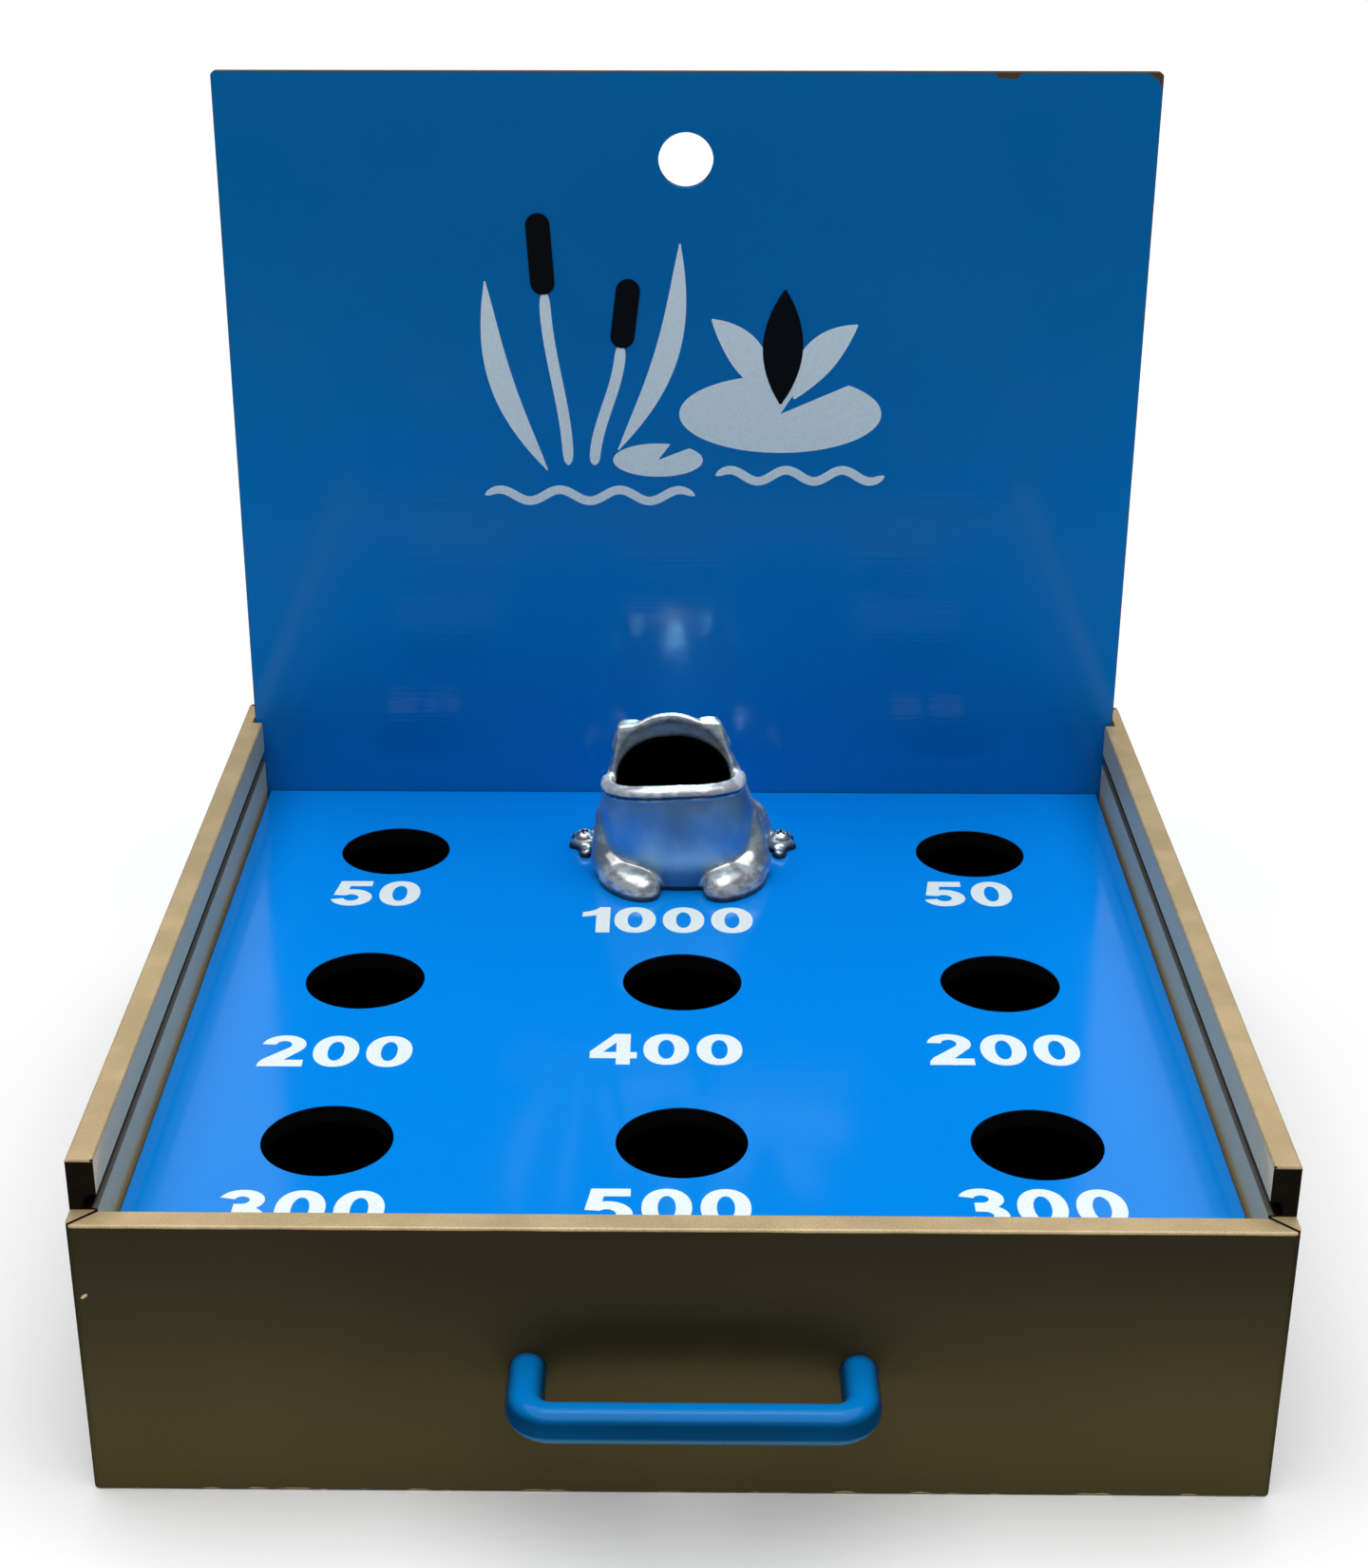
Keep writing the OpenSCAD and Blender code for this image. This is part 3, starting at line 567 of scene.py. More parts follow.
def handle_coat():
    """Blue dip coat with a soft gloss, a painted highlight on top, painted shade down the front of the bar
    and a painted reflection of the floor below.
    """
    material, tree, shader, place, axis = new_material("handle_coat", 0.0, 0.12, 0.1)
    up = calc(tree, "DIVIDE", calc(tree, "SUBTRACT", axis[2], bar_low.z), bar_high.z - bar_low.z)
    on_top = clouded(tree, fade(tree, up, 0.72, 1.0), noise(tree, place, 40), 0.2)
    below = fade(tree, up, 0.42, 0.28)
    feed(tree, shader.inputs["Base Color"], layered(tree, DIP_PAINTED_SHADE_FRONT, (on_top, DIP_PAINTED_LIT_TOP), (below, DIP_PAINTED_FLOOR_REFLECTION)))
    bumps(tree, shader, noise(tree, place, 500, 2), 0.02 * MM, 0.15)
    return material


def known_value(tree, name):
    """Value that the mesh carries at each point under this name."""
    node = tree.nodes.new("ShaderNodeAttribute")
    node.attribute_name = name
    return node.outputs["Fac"]


def zinc_plate():
    """Plated steel with the fine streaks of a rolled thread, and black in the recess as painted shade."""
    material, tree, shader, place, _ = new_material("zinc_plate", 1.0, 0.3)
    streaks = noise(tree, place, 700, 3, (1, 1, 4))
    plate = mix(tree, fade(tree, streaks, 0.3, 0.7), ZINC_DARK, ZINC_PALE)
    feed(tree, shader.inputs["Base Color"], mix(tree, known_value(tree, "recess_shade"), plate, RECESS_SHADE_BLACK))
    feed(tree, shader.inputs["Roughness"], fade(tree, streaks, 0.3, 0.7, 0.22, 0.38))
    return material


def polished_casting():
    """Satin cast skin, tinted blue as a painted reflection of the board, brighter and smoother where it is
    buffed and painted lit, with painted highlight and painted shade, and painted near black inside as shade.
    """
    material, tree, shader, place, _ = new_material("polished_casting", 1.0, 0.3)
    inside, buffed_and_lit, painted_highlight, painted_shade = [known_value(tree, n) for n in ("inside", "buffed_and_lit", "painted_highlight", "painted_shade")]
    ripples = noise(tree, place, 70, 2)
    pits = noise(tree, place, 1400, 2)
    worn = fade(tree, noise(tree, place, 190, 3, (1, 1, 2)), 0.4, 0.62)
    colour = layered(
        tree, mix(tree, fade(tree, ripples, 0.3, 0.7), SKIN_REFLECTED_BLUE_DARK, SKIN_REFLECTED_BLUE_PALE),
        (buffed_and_lit, mix(tree, worn, LIT_BUFFED_DULL, LIT_BUFFED_BRIGHT)),
        (painted_highlight, mix(tree, worn, HIGHLIGHT_DULL, HIGHLIGHT_BRIGHT)), (painted_shade, PAINTED_SHADE_NAVY), (inside, INSIDE_SHADE_BLACK))
    feed(tree, shader.inputs["Base Color"], colour)
    satin = fade(tree, ripples, 0.3, 0.7, 0.40, 0.50)
    polish = both(tree, satin, fade(tree, buffed_and_lit, 0.0, 1.0, 1.0, 0.6))
    feed(tree, shader.inputs["Roughness"], either(tree, polish, both(tree, inside, 0.7)))
    dulled = calc(tree, "MULTIPLY_ADD", painted_highlight, 0.25, both(tree, buffed_and_lit, 0.45))
    feed(tree, shader.inputs["Metallic"], calc(tree, "SUBTRACT", 1.0, dulled))
    bumps(tree, shader, calc(tree, "MULTIPLY_ADD", pits, 0.06, ripples), 0.5 * MM, 0.3)
    return material


handle_paint = handle_coat()
zinc = zinc_plate()
casting = polished_casting()
print("metals", handle_paint.name, zinc.name, casting.name)

# %% [markdown]
# Every CAD node that stays visible gets one of these finishes. A table from node to material keeps it in one
# place, and the loop replaces the plain material that came with the solid.

# %% Finish the CAD nodes
finishes = {
    "front_wall": front_paint, "rear_wall": side_paint, "left_wall": side_paint, "right_wall": side_paint,
    "floor_panel": hardboard, "left_divider": hardboard, "right_divider": hardboard,
    "front_divider": hardboard, "rear_divider": hardboard,
    "left_cleat": pine_along_y, "right_cleat": pine_along_y,
    "front_cleat": pine_along_x, "rear_rail": pine_along_x,
    "play_board": board_paint, "lid": lid_paint, "carry_handle": handle_paint, "frog": casting,
    "handle_screws": zinc, "handle_washers": zinc,
    "frog_screws": zinc, "frog_washers": zinc, "frog_nuts": zinc,
}
for node_name, finish in finishes.items():
    dress(nodes[node_name].data, finish)
print("finished nodes", len(finishes), "of", len(nodes))

# %% [markdown]
# The frog's body is a hollow shell. At each angle around the mouth, the wall's section is a closed line: up
# the outside from the board to the rim, and down the inside. Both sides are cubic Bezier curves whose four
# control points are functions of the angle, so one formula gives the belly, the cheeks and the upper jaw
# that rises out of the rim behind the mouth. Sculpting could give this too, but a formula keeps the mouth
# and the throat exactly as wide as the solid's.

# %% Sizes of the frog
BASE_W, BASE_D, BASE_T = 55, 56, 5
BELLY_SWELL, NECK_SWELL = 5, 2.5
BELLY_UP, NECK_DOWN, JAW_NECK_UP, THROAT_DOWN, THROAT_UP = 0.33, 0.2, 0.06, 0.1, 0.4
MOUTH_W, MOUTH_D, MOUTH_FRONT, MOUTH_T, CHEEK_T = 51, 20.5, 8, 4, 4.5
LIP_Z, LIP_R, LIP_FLAT, LIP_LEAN, LIP_SINK, LIP_SWEEP, LIP_TAPER = 40, 2.8, 0.65, 30, 0.6, 98, 0.9
CORNER_DROP = 3
CORNER_Z = LIP_Z - CORNER_DROP
CREST_Z, JAW_W, JAW_T, JAW_BACK, JAW_FULLNESS, NECK_BACK = 58, 46, 9, 3, 0.9, 21
SQUARENESS = 0.88
BODY_LEAN, HEAD_TIP = 5.5, 2.5
LEAN, TIP = math.tan(math.radians(BODY_LEAN)), math.tan(math.radians(HEAD_TIP))


def step(value, start, end):
    """Smooth step from 0 at start to 1 at end."""
    t = np.clip((value - start) / (end - start), 0, 1)
    return t * t * (3 - 2 * t)


def lean_over(points, share=1.0):
    """Shears points to the left as they rise, by the tangent of the lean, and tips them down to the left by
    the tangent of the tip, which grows from nothing at the board to its full value at the lip."""
    x, y, z = points[..., 0], points[..., 1], points[..., 2]
    tip = TIP * np.clip(z / LIP_Z, 0, 1)
    return np.stack([x - share * LEAN * z, y, z + share * tip * x], axis=-1)


def signed_power(value, power):
    """Raises the size of a value to a power and keeps its sign."""
    return np.sign(value) * np.abs(value) ** power


def oval(angle):
    """Point of a slightly squared circle: cosine and sine, each raised to the same power."""
    return signed_power(np.cos(angle), SQUARENESS), signed_power(np.sin(angle), SQUARENESS)


def jaw_rise(angle, fullness):
    """How far the rim has risen towards the crest: 0 in front, and behind the mouth one minus the
    distance of the sine from 1, raised to the fullness."""
    return 1 - (1 - np.maximum(np.sin(angle), 0)) ** fullness


def rim_y(angle, depth):
    """Depth of the rim: the front half bulges forward, and the rear half leans back as it rises."""
    front = oval(angle)[1] * depth - MOUTH_FRONT
    rear = (JAW_BACK + MOUTH_FRONT) * jaw_rise(angle, JAW_FULLNESS) - MOUTH_FRONT
    return np.where(np.sin(angle) < 0, front, rear)


def lip_height(angle):
    """Height of the lip: it dips from its middle to the corners of the mouth with the cosine squared."""
    return LIP_Z - CORNER_DROP * np.cos(angle) ** 2


def rim_height(angle, top, fullness):
    """Height of the rim: the front half is the lip's, and the rear half rises from the corners to the top."""
    rear = CORNER_Z + (top - CORNER_Z) * jaw_rise(angle, fullness)
    return np.where(np.sin(angle) < 0, lip_height(angle), rear)


def rim_half(angle):
    """Half width of the outer rim: the mouth's in front, easing to the narrower upper jaw behind."""
    return MOUTH_W / 2 + (JAW_W - MOUTH_W) / 2 * step(np.sin(angle), -0.2, 0.2)


def bezier(controls, steps):
    """Points of cubic Bezier curves: the four control points weighted by the Bernstein polynomials."""
    t = np.linspace(0, 1, steps + 1)
    weights = np.stack([(1 - t) ** 3, 3 * (1 - t) ** 2 * t, 3 * (1 - t) * t ** 2, t ** 3], axis=1)
    return np.einsum("sk,akc->asc", weights, controls)


def stack_points(*columns):
    """Control points from (x, y, z) columns, one row for each angle."""
    return np.stack([np.stack(np.broadcast_arrays(*c), axis=-1) for c in columns], axis=1)


def outside_controls(angle):
    """Base, belly, neck and rim of the outer side at each angle."""
    x, y = oval(angle)
    neck_down = NECK_DOWN - JAW_NECK_UP * jaw_rise(angle, JAW_FULLNESS)
    rim_z = rim_height(angle, CREST_Z, JAW_FULLNESS)
    neck_d = np.where(y < 0, MOUTH_D + NECK_SWELL, NECK_BACK + MOUTH_FRONT)
    return stack_points(
        (x * BASE_W / 2, y * BASE_D / 2, 0 * x),
        (x * (BASE_W / 2 + BELLY_SWELL), y * (BASE_D / 2 + BELLY_SWELL), 0 * x + BELLY_UP * LIP_Z),
        (x * (MOUTH_W / 2 + NECK_SWELL), y * neck_d - MOUTH_FRONT, rim_z - neck_down * LIP_Z),
        (x * rim_half(angle), rim_y(angle, MOUTH_D), rim_z))


def inside_controls(angle):
    """Rim, throat and base of the inner side at each angle."""
    x, y = oval(angle)
    rim_z = rim_height(angle, CREST_Z - JAW_T, 1)
    rim_x, rim_d = MOUTH_W / 2 - CHEEK_T, MOUTH_D - MOUTH_T
    under_d = np.where(y < 0, rim_d, NECK_BACK)
    base_x, base_y = BASE_W / 2 - BASE_T, BASE_D / 2 - BASE_T
    return stack_points(
        (x * rim_x, rim_y(angle, rim_d), rim_z),
        (x * rim_x, y * under_d - MOUTH_FRONT, rim_z - THROAT_DOWN * LIP_Z),
        (x * base_x, y * base_y, 0 * x + THROAT_UP * LIP_Z),
        (x * base_x, y * base_y, 0 * x))


print("frog", BASE_W, "x", BASE_D, "mm at the board, mouth", MOUTH_W, "mm wide, crest", CREST_Z, "mm up")

# %% [markdown]
# The wall and the lip come first. On the real frog the lip is a bead that is rolled over towards the player
# and stiffens the mouth. A bevel along the rim couldn't lean forwards and thin out towards the corners, so
# the bead is a tube of its own, sunk a little into the wall.

# %% Body and lip of the frog
def frog_shell(turns=240, steps=48):
    """Closed wall: the outer and the inner curve at each angle joined into one loop, carried round."""
    angle = full_turn(turns)
    sides = [bezier(controls(angle), steps) for controls in (outside_controls, inside_controls)]
    loops = np.concatenate(sides, axis=1)
    return loops, grid_faces(turns, loops.shape[1], True, True)


def lip_at(angle, reach=0.0, rise=0.0):
    """Place on the lip at an angle around the mouth: on the rim, moved out by reach and up by rise."""
    x, y = oval(angle)
    return np.stack(np.broadcast_arrays(
        x * (MOUTH_W / 2 + reach), y * (MOUTH_D + reach) - MOUTH_FRONT, lip_height(angle) + rise), axis=-1)


def frog_lip(steps=160, sides=24):
    """Rolled lip: an oval that leans forwards, carried along the front of the rim from corner to corner. Its
    size falls off at the ends, with the root of one minus a high power of the way along."""
    along = np.linspace(-1, 1, steps)[:, None]
    turn = full_turn(sides)[None, :]
    radius = LIP_R * np.sqrt(1 - LIP_TAPER * along ** 14)
    lean_c, lean_s = math.cos(math.radians(LIP_LEAN)), math.sin(math.radians(LIP_LEAN))
    wide, thick = np.cos(turn), LIP_FLAT * np.sin(turn)
    reach = radius * (wide * lean_c + thick * lean_s) - LIP_SINK
    rise = radius * (thick * lean_c - wide * lean_s)
    return closed_tube(lip_at(np.radians(270 + LIP_SWEEP * along), reach, rise))


shell = frog_shell()
lip = frog_lip()
print("shell", shell[0].shape, "lip", lip[0].shape)

# %% [markdown]
# The upper jaw is a flat face with two blunt upper corners, the brows in front of the eyes. Its rim lies in
# one plane that leans back, so each corner is a thin slab in that plane, between the arch of the rim and
# the outline of the corner. A thin roll runs along the top from corner to corner and catches the light.

# %% Brows and crest of the frog
BROW_IN, BROW_OUT, BROW_FOOT = (11.5, 55.1), (19.2, 54.4), (22.3, 41.5)
BROW_BENDS = (0, 0.4, 1)
BROW_START, BROW_END, BROW_TUCK, BROW_SINK, BROW_T = 66, 12, 0.96, 0.6, 3.2
CREST_R, CREST_SHARE, CREST_DROP, CREST_BACK = 1.6, 0.97, 1.4, 0.7


def face_y(z):
    """Depth of the plane of the upper rim at a height."""
    return (JAW_BACK + MOUTH_FRONT) * (z - CORNER_Z) / (CREST_Z - CORNER_Z) - MOUTH_FRONT


def frog_brow(side, steps=60):
    """Slab whose section goes from the arch, a little inside the rim, to the corner's outline and back."""
    t = np.linspace(0, 1, steps)
    angle = np.radians(BROW_START + (BROW_END - BROW_START) * t)
    arch_x = BROW_TUCK * oval(angle)[0] * JAW_W / 2
    arch_z = rim_height(angle, CREST_Z, JAW_FULLNESS) - BROW_SINK
    edge_x, edge_z = [np.interp(t, BROW_BENDS, corners) for corners in zip(BROW_IN, BROW_OUT, BROW_FOOT)]
    lines = [np.stack([x, face_y(z), z], axis=1) for x, z in ((arch_x, arch_z), (edge_x, edge_z))]
    front = np.stack(lines, axis=1)
    return closed_tube(np.concatenate([front, front[:, ::-1] + (0, BROW_T, 0)], axis=1) * (side, 1, 1))


def crest_line(steps=90):
    """Middle of the roll: below the higher of the arch and the corners' upper edge, and behind the plane."""
    x = np.linspace(-BROW_OUT[0], BROW_OUT[0], steps) * CREST_SHARE
    across = (np.abs(x) / (JAW_W / 2)) ** (1 / SQUARENESS)
    arch = rim_height(np.arccos(across), CREST_Z, JAW_FULLNESS)
    brow = np.interp(np.abs(x), (BROW_IN[0], BROW_OUT[0]), (BROW_IN[1], BROW_OUT[1]))
    top = np.where(np.abs(x) < BROW_IN[0], arch, brow)
    return np.stack([x, face_y(top) + CREST_BACK, top - CREST_DROP], axis=1)


def frog_crest(sides=20):
    """Circle in the upright plane from front to back, carried along the crest's line."""
    turn = full_turn(sides)
    ring = CREST_R * np.stack([0 * turn, np.cos(turn), np.sin(turn)], axis=1)
    return closed_tube(crest_line()[:, None, :] + ring[None, :, :])


head = [frog_brow(-1), frog_brow(1), frog_crest()]
print("head", [p.shape for p, f in head])

# %% [markdown]
# Legs, feet, thighs, toes and eyes are rounded masses that a caster would press onto the pattern in wax. Two
# kinds are enough: an egg, which is a sphere with three half sizes, and a limb, which is the skin around two
# balls. Points that would reach into the throat are moved out to the middle of the wall, and what would go
# below the board is laid flat on it. The casting isn't quite true: its body leans a little to the left over
# the hind feet, which stay upright on the board. So everything is first worked out for an upright body, with
# the hind feet sheared the other way, and the whole frog is then sheared over.

# %% Limbs of the frog
FOOT_SPAN, FOOT_FRONT, FOOT_LEN, FOOT_W, FOOT_H, TOE_IN = 39.5, 24, 16, 9.5, 10, 34
FOOT_POWER = 0.75
SHOULDER_R = 8.5
THIGH_W, THIGH_D, THIGH_H, THIGH_TURN = 11, 17, 19, -12
LUG_SPAN, LUG_BACK, LUG_R, LUG_T = 75, 10, 4.8, 4.5
TOE_LEN, TOE_R, TOES = 8, 2.8, ((-95, 1.0), (-5, 0.45), (70, 1.0))
EYE_R, EYE_SPAN, EYE_LEN, EYE_BACK, EYE_DROP = 2.4, 33.6, 4.3, 2, 2.6


def egg(middle, half_sizes, turn=0.0, power=1.0, rows=40, columns=64):
    """Ellipsoid: latitude and longitude on a sphere, stretched by the half sizes and turned about Z. A power
    under 1 on the cosine and sine of the latitude makes its top flatter and its sides steeper."""
    latitude = np.linspace(-math.pi / 2, math.pi / 2, rows)[:, None]
    longitude = full_turn(columns)[None, :]
    out, up = np.abs(np.cos(latitude)) ** power, signed_power(np.sin(latitude), power)
    ball = np.stack(np.broadcast_arrays(out * np.cos(longitude), out * np.sin(longitude), up), axis=-1)
    spin = np.array(Matrix.Rotation(math.radians(turn), 3, "Z"))
    return ball * half_sizes @ spin.T + middle, grid_faces(rows, columns, False, True)


def limb(first, first_r, second, second_r, rows=24, columns=48):
    """Skin around two balls: the first ball's cap up to where a cone touches both, then the second's."""
    first, second = np.asarray(first, float), np.asarray(second, float)
    length = np.linalg.norm(second - first)
    ahead = (second - first) / length
    aside = np.cross(ahead, (0.0, 0.0, 1.0) if abs(ahead[2]) < 0.9 else (1.0, 0.0, 0.0))
    aside /= np.linalg.norm(aside)
    up = np.cross(aside, ahead)
    touch = math.asin(np.clip((first_r - second_r) / length, -1, 1))
    low = np.linspace(-math.pi / 2, touch, rows)
    high = np.linspace(touch, math.pi / 2, rows)
    axial = np.concatenate([first_r * np.sin(low), length + second_r * np.sin(high)])[:, None, None]
    radial = np.concatenate([first_r * np.cos(low), second_r * np.cos(high)])[:, None, None]
    turn = full_turn(columns)[None, :, None]
    points = first + axial * ahead + radial * (np.cos(turn) * aside + np.sin(turn) * up)
    return points, grid_faces(2 * rows, columns, False, True)


def frog_limbs(side):
    """Masses of the side with this sign of x: first the eye, front leg and front foot, which lean with the
    body, and then the upright thigh, hind foot and toes, each with a heading and a share of the length."""
    mirror = np.array([side, 1, 1])
    eye = np.array([EYE_SPAN / 2, JAW_BACK + EYE_BACK, CREST_Z - EYE_DROP - EYE_R])
    cheek = np.array([MOUTH_W / 2 - 5.5, JAW_BACK - 1, LIP_Z + 6])
    shoulder = np.array([BASE_W / 2 - 4, -0.3 * FOOT_FRONT, 0.55 * LIP_Z])
    heel = np.array([FOOT_SPAN / 2 + 5.5, -0.6 * FOOT_FRONT, 0.6 * FOOT_H])
    foot = np.array([FOOT_SPAN / 2, -FOOT_FRONT, 0])
    lug = np.array([LUG_SPAN / 2, LUG_BACK, 0])
    ankle = np.array([BASE_W / 2, LUG_BACK, LUG_T])
    thigh = np.array([BASE_W / 2 - 4, LUG_BACK + 2, 0])
    leaning = [
        limb(eye, EYE_R, eye - (EYE_LEN, 0, 0), EYE_R),
        limb(eye, EYE_R, eye + (-2, 4, -5), EYE_R),
        limb(eye, EYE_R, cheek, EYE_R),
        limb(shoulder, 0.8 * SHOULDER_R, heel, SHOULDER_R),
        limb(heel, SHOULDER_R, foot + (1, -1, 0.3 * FOOT_H), 0.75 * SHOULDER_R),
        egg(foot, (FOOT_LEN, FOOT_W, FOOT_H), 90 - TOE_IN, FOOT_POWER),
    ]
    upright = [
        egg(thigh, (THIGH_W, THIGH_D, THIGH_H), THIGH_TURN),
        limb(ankle, LUG_R, lug + (0, 0, 1), LUG_R),
    ]
    for heading, share in TOES:
        ahead = np.array([math.cos(math.radians(heading)), math.sin(math.radians(heading)), 0])
        upright.append(limb(lug, TOE_R, lug + share * TOE_LEN * ahead, TOE_R))
    return [[(points * mirror, faces) for points, faces in masses] for masses in (leaning, upright)]


def lay_flat(points):
    """Points with what is below the board raised onto it."""
    return np.maximum(points, (-1e3, -1e3, 0))


def keep_out_of_throat(points):
    """Moves a point inside the oval of the wall's middle straight out from the axis to that oval."""
    wall_x, wall_y = (BASE_W - BASE_T) / 2, (BASE_D - BASE_T) / 2
    power = 2 / SQUARENESS
    share = (np.abs(points[..., 0]) / wall_x) ** power + (np.abs(points[..., 1]) / wall_y) ** power
    low = points[..., 2] < LIP_Z
    scale = np.where(low & (share < 1), np.maximum(share, 1e-3) ** (-1 / power), 1)
    return points * np.stack([scale, scale, np.ones_like(scale)], axis=-1)


limbs = []
for side in (-1, 1):
    leaning, upright = frog_limbs(side)
    limbs += [(keep_out_of_throat(lay_flat(p)), f) for p, f in leaning]
    limbs += [(keep_out_of_throat(lean_over(lay_flat(p), -1)), f) for p, f in upright]
print("limbs", len(limbs))

# %% [markdown]
# The masses overlap, and a casting has no creases where they meet. A voxel Remesh turns them into one skin,
# and a Smooth modifier then rounds the valleys into fillets, as sand and polishing do. Both are applied, so
# that the shallow dents of filing by hand can be added, the seats of the screws pressed flat and the inside
# marked on the finished points.

# %% One skin for the frog
VOXEL, FILLET_FACTOR, FILLET_ROUNDS = 0.62, 0.5, 9
DENT, DENT_LENGTHS, DENT_STARTS = 0.15, np.array([9.0, 11.5, 13.0, 15.5]), (0.3, 1.7, 2.9, 4.2)
DENT_WAYS = np.array([(0.8, 0.3, 0.5), (-0.5, 0.6, 0.6), (0.2, -0.9, 0.4), (-0.7, -0.4, 0.6)])
ON_BOARD = 0.35
frog_middle = np.array([0, (screw_low.y + screw_high.y) / 2 / MM - LUG_BACK, board_top / MM])


def one_skin(points, faces):
    """Mesh in millimetres whose overlapping closed parts are joined and smoothed."""
    rough = bpy.data.meshes.new("frog_masses")
    rough.from_pydata(points.tolist(), [], faces)
    wax = add_object("frog_masses", rough)
    remesh = wax.modifiers.new("skin", "REMESH")
    remesh.mode = "VOXEL"
    remesh.voxel_size = VOXEL
    rounding = wax.modifiers.new("fillets", "SMOOTH")
    rounding.factor = FILLET_FACTOR
    rounding.iterations = FILLET_ROUNDS
    skin = bpy.data.meshes.new_from_object(wax.evaluated_get(bpy.context.evaluated_depsgraph_get()))
    bpy.data.objects.remove(wax)
    bpy.data.meshes.remove(rough)
    return skin


def read_rows(items, key):
    """Array with one vector for each of a mesh's points or normals."""
    flat = np.empty(3 * len(items), np.float32)
    items.foreach_get(key, flat)
    return flat.reshape(-1, 3).astype(float)


def off_screw(points):
    """Distance of each point from the axis of the screw on its side."""
    return np.hypot(np.abs(points[:, 0]) - LUG_SPAN / 2, points[:, 1] - LUG_BACK)


def hand_finish(points, normals):
    """Moves the skin along its normals by shallow dents: the mean of sines along slanted directions, each
    with its own wavelength, and fading out towards the board and the screws."""
    waves = np.sin(points @ (2 * math.pi * DENT_WAYS / DENT_LENGTHS[:, None]).T + DENT_STARTS).mean(axis=1)
    share = step(points[:, 2], 1.5, 7) * step(off_screw(points), LUG_R, LUG_R + 4)
    return points + (DENT * waves * share)[:, None] * normals


skin = one_skin(*gather([(lean_over(p), f) for p, f in [shell, lip] + head + limbs]))
points = hand_finish(read_rows(skin.vertices, "co"), read_rows(skin.vertex_normals, "vector"))
points[:, 2] = np.where(off_screw(points) < LUG_R, np.minimum(points[:, 2], LUG_T), points[:, 2])
points[:, 2] = np.where(points[:, 2] < ON_BOARD, 0, points[:, 2])
print("frog skin", len(points), "points, height", round(points[:, 2].max(), 1), "mm")

# %% [markdown]
# The inside of the casting is painted near black, as shade in the hollow. A point is inside when its normal
# looks towards the mouth's axis and it lies within the wall's oval, or above the lip within the arch of the
# mouth. What looks up is painted brighter, partly as buffed metal and partly as painted highlight, and so
# are the lip, the crest, the feet and the jaw. The lip carries the strongest painted highlight. Painted shade
# lies under the lip, along the board and low on the belly between the front feet. Smooth steps of these
# measures make the four attributes that the material reads.

# %% Mark the inside and place the frog
# Shares of the painted highlight on the crest and feet, and of the painted shade on the board and belly.
JAW_BUFFED_AND_LIT, CREST_HIGHLIGHT, FOOT_HIGHLIGHT, BOARD_SHADE, BELLY_SHADE = 0.4, 0.3, 0.25, 0.9, 0.5


def inside_share(points, normals):
    """1 on the inner wall: looking inwards, and within the base's oval or the arch of the mouth."""
    x, y, z = lean_over(points, -1).T
    from_axis = y + MOUTH_FRONT * np.clip(z / LIP_Z, 0, 1)
    outwards = (normals[:, 0] * x + normals[:, 1] * from_axis) / np.maximum(np.hypot(x, from_axis), 1e-6)
    rise = np.clip((z - CORNER_Z) / (CREST_Z - JAW_T - CORNER_Z), 0, 2)
    arch = (np.abs(x) / (MOUTH_W / 2 - CHEEK_T)) ** (2 / SQUARENESS) + rise ** 2
    wall = (np.abs(x) / (BASE_W / 2)) ** 2.3 + (np.abs(y) / (BASE_D / 2)) ** 2.3
    in_mouth = (z > CORNER_Z) & (y > -MOUTH_FRONT - 3)
    within = np.where(in_mouth, step(arch, 1.1, 0.94), step(wall, 1.0, 0.9))
    return within * step(outwards, -0.25, -0.55)


def foot_share(points, side):
    """1 on the front foot of this side: the sum of squared distances from its middle over its half sizes."""
    spin = np.array(Matrix.Rotation(math.radians(90 - TOE_IN), 3, "Z"))
    foot = (FOOT_SPAN / 2, -FOOT_FRONT, 0)
    along = (lean_over(points, -1) * (side, 1, 1) - foot) @ spin / (FOOT_LEN, FOOT_W, FOOT_H)
    return step((along ** 2).sum(axis=1), 1.5, 1.25)


def off_curve(points, curve):
    """Distance of each point from a curve, which is given by many places along it."""
    near = np.full(len(points), np.inf)
    for place_on_curve in lean_over(curve):
        near = np.minimum(near, ((points - place_on_curve) ** 2).sum(axis=1))
    return np.sqrt(near)


skin.vertices.foreach_set("co", ((points + frog_middle) * MM).astype(np.float32).ravel())
skin.update()
normals = read_rows(skin.vertex_normals, "vector")
height, facing_up = points[:, 2], normals[:, 2]
# The inside is marked to be painted near black, as shade in the hollow.
within = inside_share(points, normals)
off_lip = off_curve(points, lip_at(np.radians(np.linspace(270 - LIP_SWEEP, 270 + LIP_SWEEP, 120))))
on_lip = step(off_lip, LIP_R + 0.6, LIP_R - 0.2)
on_crest = step(off_curve(points, crest_line()), CREST_R + 0.6, CREST_R)
on_foot = np.maximum(foot_share(points, -1), foot_share(points, 1))
on_jaw = (1 - within) * step(height, LIP_Z + 1, LIP_Z + 4)
under_lip = step(off_lip, LIP_R + 1.8, LIP_R + 0.6) * step(facing_up, 0.0, -0.4)
at_board = step(height, 3.0, 1.6)
between_feet = step(np.abs(points[:, 0]), 15, 8) * step(points[:, 1], -8, -15) * (1 - on_foot)
at_belly = between_feet * step(height, 14, 6)
